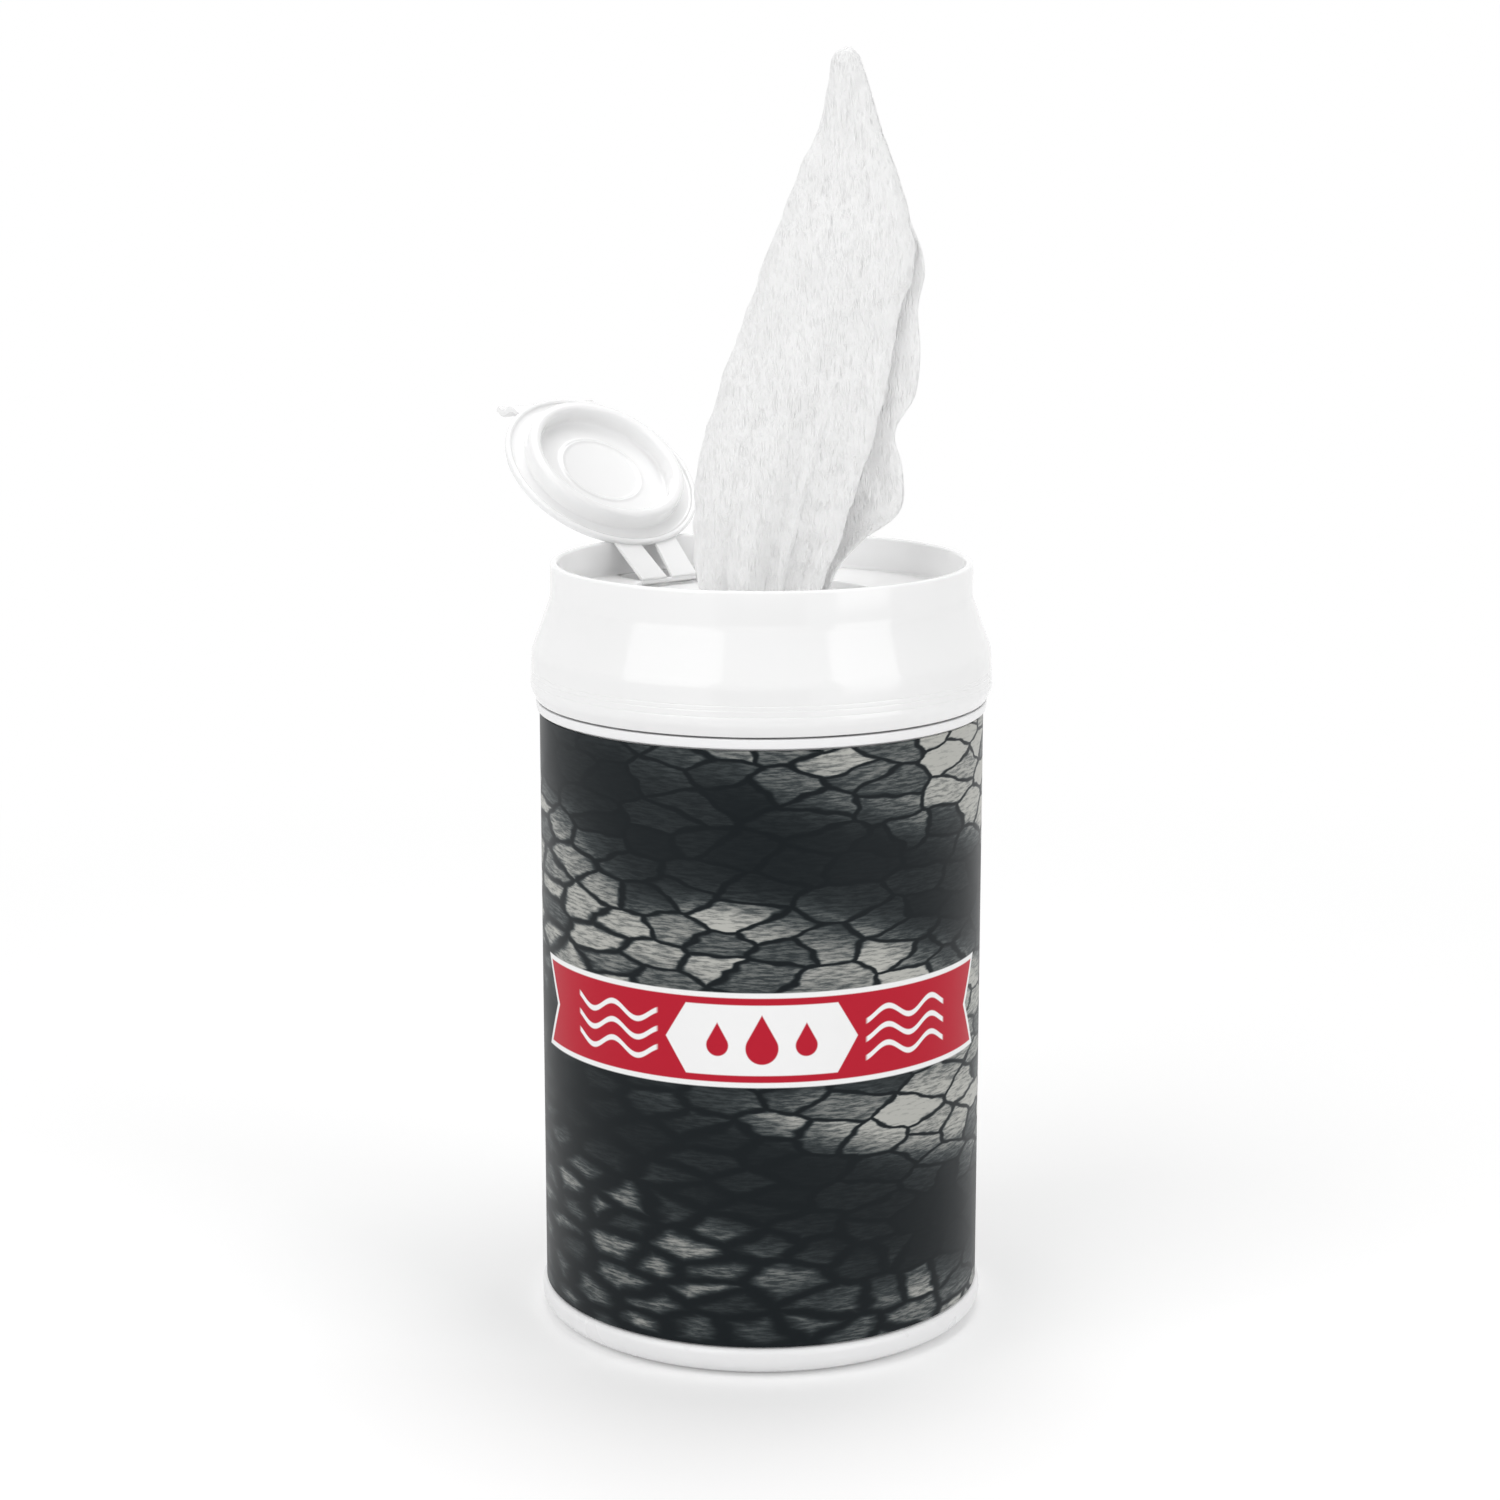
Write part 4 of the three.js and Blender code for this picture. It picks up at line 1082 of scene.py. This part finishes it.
# %% The print, unrolled
FILM_RADIUS = FILM_INNER_RADIUS + FILM_THICKNESS
BADGE_HEIGHT_Z = 54  # middle of the badge over the base
BADGE_HALF_LENGTH = 40
BADGE_HALF_HEIGHT = 7.4
BAND_TURN = math.radians(36)
INK = (0.006, 0.009, 0.011, 1)
MID_GREY = (0.07, 0.082, 0.085, 1)
PALE_GREY = (0.46, 0.46, 0.43, 1)
RED = (0.48, 0.012, 0.03, 1)
PRINT_WHITE = (0.9, 0.9, 0.9, 1)
LAP_END = LAP_START + LAP_ANGLE  # where the outer end of the film is seen
FRONT = -math.pi / 2  # azimuth of the front of the can


def unroll(tree):
    """Sockets for millimetres along the film from the front, and up from the base.

    The angle jumps where the film's outer end lies, so the print breaks at the lap.
    """
    place = tree.nodes.new("ShaderNodeTexCoord").outputs["Object"]
    facing = stretched(tree, place, (0, 0, math.pi - LAP_END), (1, 1, 1))
    parts = add_node(tree, "ShaderNodeSeparateXYZ", Vector=facing)
    x, y, z = (parts.outputs[axis] for axis in "XYZ")
    angle = calc(tree, "ARCTAN2", y, x)
    from_front = calc(tree, "ADD", angle, LAP_END - math.pi - FRONT)
    return calc(tree, "MULTIPLY", from_front, FILM_RADIUS), calc(tree, "DIVIDE", z, MM)


print("badge", 2 * BADGE_HALF_LENGTH, "by", round(2 * BADGE_HALF_HEIGHT, 1), "mm")

# %% The slate of the print
PLATE_STRETCH = (0.1, 0.24, 1)  # plates in a millimetre, along a band and across it
PLATE_BEND, PLATE_BEND_SCALE = 0.55, 1.3
PLATE_MIX = 0.85  # how far the plates stray from a grid
GROOVE, GROOVE_SHARP, GROOVE_BLURRED = 0.015, 0.1, 0.3
BLUR_FROM, BLUR_TO = -62.0, 14.0
BLUR_LOSS = 0.6
GRAIN_TURN, GRAIN_STRETCH = 0.5, (0.35, 2.4, 1)
BAND_PITCH, BAND_PHASE = 0.62, 0.9
DRIFT_STRETCH = (0.012, 0.035, 1)


def slate_plates(tree, banded):
    """Tone of each broken plate, and the distance to its nearest groove."""
    wobble = add_node(tree, "ShaderNodeTexNoise", Vector=banded, Scale=PLATE_BEND_SCALE)
    bent = tree.nodes.new("ShaderNodeVectorMath")
    tree.links.new(banded, bent.inputs[0])
    tree.links.new(tint(tree, wobble.outputs["Color"], PLATE_BEND), bent.inputs[1])
    plates = tree.nodes.new("ShaderNodeTexVoronoi")
    grooves = tree.nodes.new("ShaderNodeTexVoronoi")
    grooves.feature = "DISTANCE_TO_EDGE"
    for texture in (plates, grooves):
        texture.voronoi_dimensions = "2D"
        tree.links.new(bent.outputs[0], texture.inputs["Vector"])
        texture.inputs["Scale"].default_value = 1.0
        texture.inputs["Randomness"].default_value = PLATE_MIX
    tone = add_node(tree, "ShaderNodeSeparateColor", Color=plates.outputs["Color"]).outputs[0]
    return tone, grooves.outputs["Distance"]


def slate_grain(tree, flat):
    """The fine striped grain of split stone, between a half and one."""
    place = stretched(tree, flat, (0, 0, BAND_TURN + GRAIN_TURN), GRAIN_STRETCH)
    grain = smooth_step(tree, noise_value(tree, place, 1.0, 4, 0.65), 0.35, 0.65)
    return calc(tree, "MULTIPLY_ADD", grain, 0.5, 0.5)


def slate_light(tree, flat, banded, blur):
    """How brightly a place is lit: bands that climb to the right, broken by slow clouds."""
    across = add_node(tree, "ShaderNodeSeparateXYZ", Vector=banded).outputs["Y"]
    bands = calc(tree, "SINE", calc(tree, "MULTIPLY_ADD", across, BAND_PITCH, BAND_PHASE))
    bands = smooth_step(tree, bands, -0.95, 0.35)
    drift = stretched(tree, flat, (0, 0, BAND_TURN), DRIFT_STRETCH)
    clouds = smooth_step(tree, noise_value(tree, drift, 1.0, 2), 0.3, 0.54)
    kept = calc(tree, "SUBTRACT", 1.0, calc(tree, "MULTIPLY", blur, BLUR_LOSS))
    return calc(tree, "MULTIPLY", calc(tree, "MULTIPLY", bands, clouds), kept)


def slate_print(tree, along, up):
    """Broken slate in bands of light and shade."""
    joined = tree.nodes.new("ShaderNodeCombineXYZ")
    tree.links.new(along, joined.inputs["X"])
    tree.links.new(up, joined.inputs["Y"])
    flat = joined.outputs[0]
    banded = stretched(tree, flat, (0, 0, BAND_TURN), PLATE_STRETCH)
    tone, groove = slate_plates(tree, banded)
    # Out of focus towards the lower left, as a close-up photograph of stone would be.
    lower_left = calc(tree, "SUBTRACT", calc(tree, "MULTIPLY", along, -1.0), up)
    blur = smooth_step(tree, lower_left, BLUR_FROM, BLUR_TO)
    groove_width = calc(tree, "MULTIPLY_ADD", blur, GROOVE_BLURRED, GROOVE_SHARP)
    plate = smooth_step(tree, groove, GROOVE, groove_width)
    light = slate_light(tree, flat, banded, blur)
    stone = calc(tree, "MULTIPLY_ADD", tone, 0.75, 0.25)
    level = calc(tree, "MULTIPLY", calc(tree, "MULTIPLY", stone, slate_grain(tree, flat)), plate)
    level = calc(tree, "MULTIPLY", level, calc(tree, "MULTIPLY_ADD", light, 0.9, 0.1))
    dark = blend_colours(tree, smooth_step(tree, level, 0.0, 0.3), INK, MID_GREY)
    return blend_colours(tree, smooth_step(tree, level, 0.14, 0.6), dark, PALE_GREY)


# %% The badge of the print
BADGE_NOTCH = -0.5  # slant of its ends: negative cuts them inwards
BADGE_BORDER = 0.8
PANEL_HALF_LENGTH, PANEL_INSET, PANEL_POINT = 15.0, 1.9, 0.6
DROPS = ((-6.8, 1.7), (0.0, 2.5), (6.8, 1.7))  # middle and radius
DROP_TIP = 2.1  # height of a drop's tip over the middle of its circle, in radii
DROP_SINK = 0.5  # how far that middle lies under the badge's own, in radii
WAVE_MIDDLES = (-24.5, 24.5)
WAVE_LIFTS = (-2.9, 0.0, 2.9)
WAVE_HALF_LENGTH, WAVE_HALF_LINE = 8.0, 0.42
WAVE_TURN = 0.7  # radians in a millimetre


def inside(tree, distance, edge, feather=0.12):
    """1 where a distance is under the edge, with a printed line's soft border."""
    made = smooth_step(tree, distance, edge - feather, edge + feather)
    return calc(tree, "SUBTRACT", 1.0, made)


def badge_distance(tree, along, up, half_length, half_height, slant, middle=0.0):
    """Distance to the outline of a long badge with pointed ends, negative inside it."""
    beside = calc(tree, "ABSOLUTE", calc(tree, "SUBTRACT", along, middle))
    over = calc(tree, "ABSOLUTE", up)
    ends = calc(tree, "SUBTRACT", calc(tree, "MULTIPLY_ADD", over, slant, beside), half_length)
    return calc(tree, "MAXIMUM", ends, calc(tree, "SUBTRACT", over, half_height))


def drop_distance(tree, along, up, middle, radius):
    """Distance to a water drop: a circle, and a cone over it that touches its sides."""
    x = calc(tree, "ABSOLUTE", calc(tree, "SUBTRACT", along, middle))
    y = calc(tree, "ADD", up, DROP_SINK * radius)
    squares = calc(tree, "ADD", calc(tree, "MULTIPLY", x, x), calc(tree, "MULTIPLY", y, y))
    circle_part = calc(tree, "SUBTRACT", calc(tree, "SQRT", squares), radius)
    slope = 1 / DROP_TIP
    side = calc(tree, "MULTIPLY_ADD", x, math.sqrt(1 - slope**2), calc(tree, "MULTIPLY", y, slope))
    below = calc(tree, "SUBTRACT", slope * radius, y)
    cone_part = calc(tree, "MAXIMUM", calc(tree, "SUBTRACT", side, radius), below)
    return calc(tree, "MINIMUM", circle_part, cone_part)


def add_badge(tree, along, up, picture):
    """The red badge over the picture: three drops in the middle, waves on both sides."""
    up = calc(tree, "SUBTRACT", up, float(BADGE_HEIGHT_Z))
    outline = badge_distance(tree, along, up, BADGE_HALF_LENGTH, BADGE_HALF_HEIGHT, BADGE_NOTCH)
    picture = blend_colours(tree, inside(tree, outline, 0.0), picture, PRINT_WHITE)
    picture = blend_colours(tree, inside(tree, outline, -BADGE_BORDER), picture, RED)
    panel = badge_distance(tree, along, up, PANEL_HALF_LENGTH,
                           BADGE_HALF_HEIGHT - PANEL_INSET, PANEL_POINT)
    picture = blend_colours(tree, inside(tree, panel, 0.0), picture, PRINT_WHITE)
    for middle, radius in DROPS:
        drop = drop_distance(tree, along, up, middle, radius)
        picture = blend_colours(tree, inside(tree, drop, 0.0), picture, RED)
    crest = calc(tree, "SINE", calc(tree, "MULTIPLY", along, WAVE_TURN))
    for middle in WAVE_MIDDLES:
        field = badge_distance(tree, along, up, WAVE_HALF_LENGTH, BADGE_HALF_HEIGHT, 0.0, middle)
        for lift in WAVE_LIFTS:
            over = calc(tree, "SUBTRACT", calc(tree, "SUBTRACT", up, lift), crest)
            wave = inside(tree, calc(tree, "ABSOLUTE", over), WAVE_HALF_LINE)
            mask = calc(tree, "MULTIPLY", wave, inside(tree, field, 0.0, 0.3))
            picture = blend_colours(tree, mask, picture, PRINT_WHITE)
    return picture


# %% The printed film's material
FILM_SHEEN_SCALE, RIPPLE_SCALE = 120, 70
FILM_ROUGHNESS, FILM_ROUGHNESS_SPREAD = 0.34, 0.12
FILM_SPECULAR = 0.12
RIPPLE_DEPTH = 0.03 * MM


def film_material():
    """The print under a satin film with faint ripples."""
    material, tree, shader = new_material("printed_film")
    along, up = unroll(tree)
    picture = add_badge(tree, along, up, slate_print(tree, along, up))
    tree.links.new(picture, shader.inputs["Base Color"])
    place = tree.nodes.new("ShaderNodeTexCoord").outputs["Object"]
    patch = noise_value(tree, place, FILM_SHEEN_SCALE, 2)
    sheen = calc(tree, "MULTIPLY_ADD", patch, FILM_ROUGHNESS_SPREAD, FILM_ROUGHNESS)
    tree.links.new(sheen, shader.inputs["Roughness"])
    shader.inputs["Specular IOR Level"].default_value = FILM_SPECULAR
    upright = stretched(tree, place, (0, 0, 0), (1, 1, 0.3))
    ripple = noise_value(tree, upright, RIPPLE_SCALE, 2)
    tree.links.new(bump(tree, ripple, RIPPLE_DEPTH), shader.inputs["Normal"])
    return material


printed_film = film_material()
print("print made of", len(printed_film.node_tree.nodes), "nodes")

# %% [markdown]
# A finish shows only once its piece wears it. The roll of wipes needs no finer skin, since
# it is hidden in the can, so its CAD solid stays and only takes the cloth of the roll.

# %% Put the finishes on the pieces
for piece, material in ((can, can_plastic), (cap, cap_plastic), (lid, cap_plastic),
                        (hinge_block, cap_plastic), (label, printed_film), (wipe, wipe_cloth)):
    piece.data.materials.clear()
    piece.data.materials.append(material)
roll = frame["nodes"]["wipe_roll"]
for slot in roll.material_slots:
    slot.material = roll_cloth
print("roll of wipes wears", roll.material_slots[0].material.name)

# %% [markdown]
# Each piece now rides on the body that it moves with, and takes the place of the CAD solid
# that it dresses. The wipe is the only soft one. It could be bent under the lid by bones, but
# a wipe that is left standing in the cap crumples straight down into the dish as the lid
# shuts.

# %% Tie the pieces to the frame
for piece, body, node, finish_slot in (
    (can, "can", "can_body", "can_plastic"),
    (label, "can", "wrap_label", "printed_film"),
    (cap, "cap", "screw_cap", "cap_plastic"),
    (lid, "lid", "flip_lid", "cap_plastic"),
    (wipe, "drawn_wipe", "pulled_wipe", "wipe_cloth"),
):
    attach(piece, body)
    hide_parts(node)
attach(hinge_block, "cap")
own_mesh(wipe)

# %% [markdown]
# The camera looks down a little from the front. A level camera with a shifted lens would
# keep the can's sides upright, but it would suit this one view only. So it is tilted and
# aimed without shift, and the same lens serves every other view of the model.

# %% Camera
CAMERA_DISTANCE = 507
CAMERA_PITCH = math.radians(11.61)
SENSOR_WIDTH = 36
NEAREST_SEEN = 0.01  # metres
CAMERA_FOCUS = 3192  # focal length in pixels of the 1500 pixel frame
CAMERA_AIM = Vector((-1.8, 0, 91.5))
FRAME_PIXELS = 1500


def make_camera():
    data = bpy.data.cameras.new("camera")
    data.sensor_width = SENSOR_WIDTH
    data.lens = SENSOR_WIDTH * CAMERA_FOCUS / FRAME_PIXELS
    data.clip_start = NEAREST_SEEN
    made = bpy.data.objects.new("camera", data)
    bpy.context.scene.collection.objects.link(made)
    back = Vector((0, -math.cos(CAMERA_PITCH), math.sin(CAMERA_PITCH)))
    made.location = (CAMERA_AIM + back * CAMERA_DISTANCE) * MM
    made.rotation_euler = (math.pi / 2 - CAMERA_PITCH, 0, 0)
    bpy.context.scene.camera = made
    return made


camera = make_camera()
print("lens", round(camera.data.lens, 1), "mm")

# %% [markdown]
# The floor is white to the camera, yet it must still hold a shadow under the can and must
# not throw extra light up at it. More light on a white floor would clip the can as well. So
# near the can its shader is a pale diffuse floor with a faint glow added, which only the
# camera, mirrors and glass see, and far out it turns into a white glow of that kind alone.

# %% Floor
FLOOR_SIZE = 6  # metres
FLOOR_COLOUR = (0.85, 0.85, 0.85, 1)
FLOOR_GLOW = 0.17
SHADOW_NEAR, SHADOW_FAR = 0.12, 0.42  # metres from the can's axis


def seen_directly(tree):
    """1 for rays from the camera, in a mirror or through glass, and 0 for all light."""
    path = tree.nodes.new("ShaderNodeLightPath")
    seen = calc(tree, "MAXIMUM", path.outputs["Is Camera Ray"], path.outputs["Is Glossy Ray"])
    return calc(tree, "MAXIMUM", seen, path.outputs["Is Transmission Ray"])


def floor_material():
    """Pale near the can, where its shadow falls, and plain white far out."""
    material = bpy.data.materials.new("floor")
    material.use_nodes = True
    tree = material.node_tree
    tree.nodes.clear()
    seen = seen_directly(tree)
    place = tree.nodes.new("ShaderNodeTexCoord").outputs["Object"]
    out_from = add_node(tree, "ShaderNodeVectorMath", Vector=place)
    out_from.operation = "LENGTH"
    far = smooth_step(tree, out_from.outputs["Value"], SHADOW_NEAR, SHADOW_FAR)
    diffuse = add_node(tree, "ShaderNodeBsdfDiffuse", Color=FLOOR_COLOUR)
    glow = calc(tree, "MULTIPLY", seen, FLOOR_GLOW)
    faint_glow = add_node(tree, "ShaderNodeEmission", Strength=glow)
    near_shader = tree.nodes.new("ShaderNodeAddShader")
    tree.links.new(diffuse.outputs[0], near_shader.inputs[0])
    tree.links.new(faint_glow.outputs[0], near_shader.inputs[1])
    white = add_node(tree, "ShaderNodeEmission", Strength=seen)
    mix = tree.nodes.new("ShaderNodeMixShader")
    tree.links.new(calc(tree, "MULTIPLY", far, seen), mix.inputs[0])
    tree.links.new(near_shader.outputs[0], mix.inputs[1])
    tree.links.new(white.outputs[0], mix.inputs[2])
    out = tree.nodes.new("ShaderNodeOutputMaterial")
    tree.links.new(mix.outputs[0], out.inputs["Surface"])
    return material


def make_floor():
    half = FLOOR_SIZE / 2 / MM
    corners = [(-half, -half, 0), (half, -half, 0), (half, half, 0), (-half, half, 0)]
    made = new_object("floor", corners, [(0, 1, 2, 3)])
    made.data.materials.append(floor_material())
    return made


floor = make_floor()
print(floor.name, "is", FLOOR_SIZE, "m wide")

# %% [markdown]
# Three wide, soft lamps and an even white world light the pack. One strong lamp would burn
# out the white plastic and leave a hard shadow. The world is white to the camera and in
# reflections, and dimmer as a source of light, so that the plastic keeps its shading.

# %% World
WORLD_LIGHT = 0.47


def make_world():
    """White where it is seen or mirrored, and dimmer as a light."""
    world = bpy.data.worlds.new("studio")
    bpy.context.scene.world = world
    world.use_nodes = True
    tree = world.node_tree
    tree.nodes.clear()
    strength = calc(tree, "MULTIPLY_ADD", seen_directly(tree), 1.0 - WORLD_LIGHT, WORLD_LIGHT)
    background = add_node(tree, "ShaderNodeBackground", Strength=strength)
    background.inputs["Color"].default_value = (1, 1, 1, 1)
    out = tree.nodes.new("ShaderNodeOutputWorld")
    tree.links.new(background.outputs[0], out.inputs["Surface"])
    return world


world = make_world()
print("world lights at", WORLD_LIGHT)

# %% Lamps
LAMP_AIM = Vector((0, 0, 0.08))  # metres


def soft_lamp(name, azimuth, elevation, distance, size, power):
    """A wide area lamp that looks at the middle of the can, from an azimuth off the front."""
    data = bpy.data.lights.new(name, "AREA")
    data.shape = "RECTANGLE"
    data.size, data.size_y = size
    data.energy = power
    made = bpy.data.objects.new(name, data)
    bpy.context.scene.collection.objects.link(made)
    a, e = math.radians(azimuth), math.radians(elevation)
    way = Vector((math.sin(a) * math.cos(e), -math.cos(a) * math.cos(e), math.sin(e)))
    made.location = way * distance + LAMP_AIM
    made.rotation_euler = way.to_track_quat("Z", "Y").to_euler()
    return made


soft_lamp("key", -48, 34, 0.9, (0.8, 1.0), 3.85)
soft_lamp("fill", 55, 20, 1.0, (0.6, 1.0), 3.4)
soft_lamp("top", 170, 72, 0.9, (0.5, 0.5), 3.0)

# %% [markdown]
# In an all-white room a glossy white collar has nothing to mirror, and looks flat. Product
# photographers stand a dark card in front of it. Here the card is seen by reflections only,
# so that it leaves a duller patch in the middle of the collar and casts no shadow.

# %% Dark card
CARD_GREY = (0.2, 0.2, 0.2, 1)
CARD_FOOT = 1  # over the floor


def dark_card(half_width, height, distance):
    """An upright card at some millimetres in front of the can."""
    corners = [(-half_width, 0, CARD_FOOT), (half_width, 0, CARD_FOOT),
               (half_width, 0, height), (-half_width, 0, height)]
    made = new_object("dark_card", np.array(corners) - (0, distance, 0), [(0, 1, 2, 3)])
    material, _, shader = new_material("dark_card")
    shader.inputs["Base Color"].default_value = CARD_GREY
    shader.inputs["Roughness"].default_value = 1
    made.data.materials.append(material)
    made.visible_camera = made.visible_diffuse = made.visible_shadow = False
    made.visible_transmission = made.visible_volume_scatter = False
    return made


card = dark_card(half_width=190, height=88, distance=450)
print("card stands", -card.data.vertices[0].co.y, "m in front")

# %% [markdown]
# The Standard view transform shows a colour as it is written.

bpy.context.scene.view_settings.view_transform = "Standard"
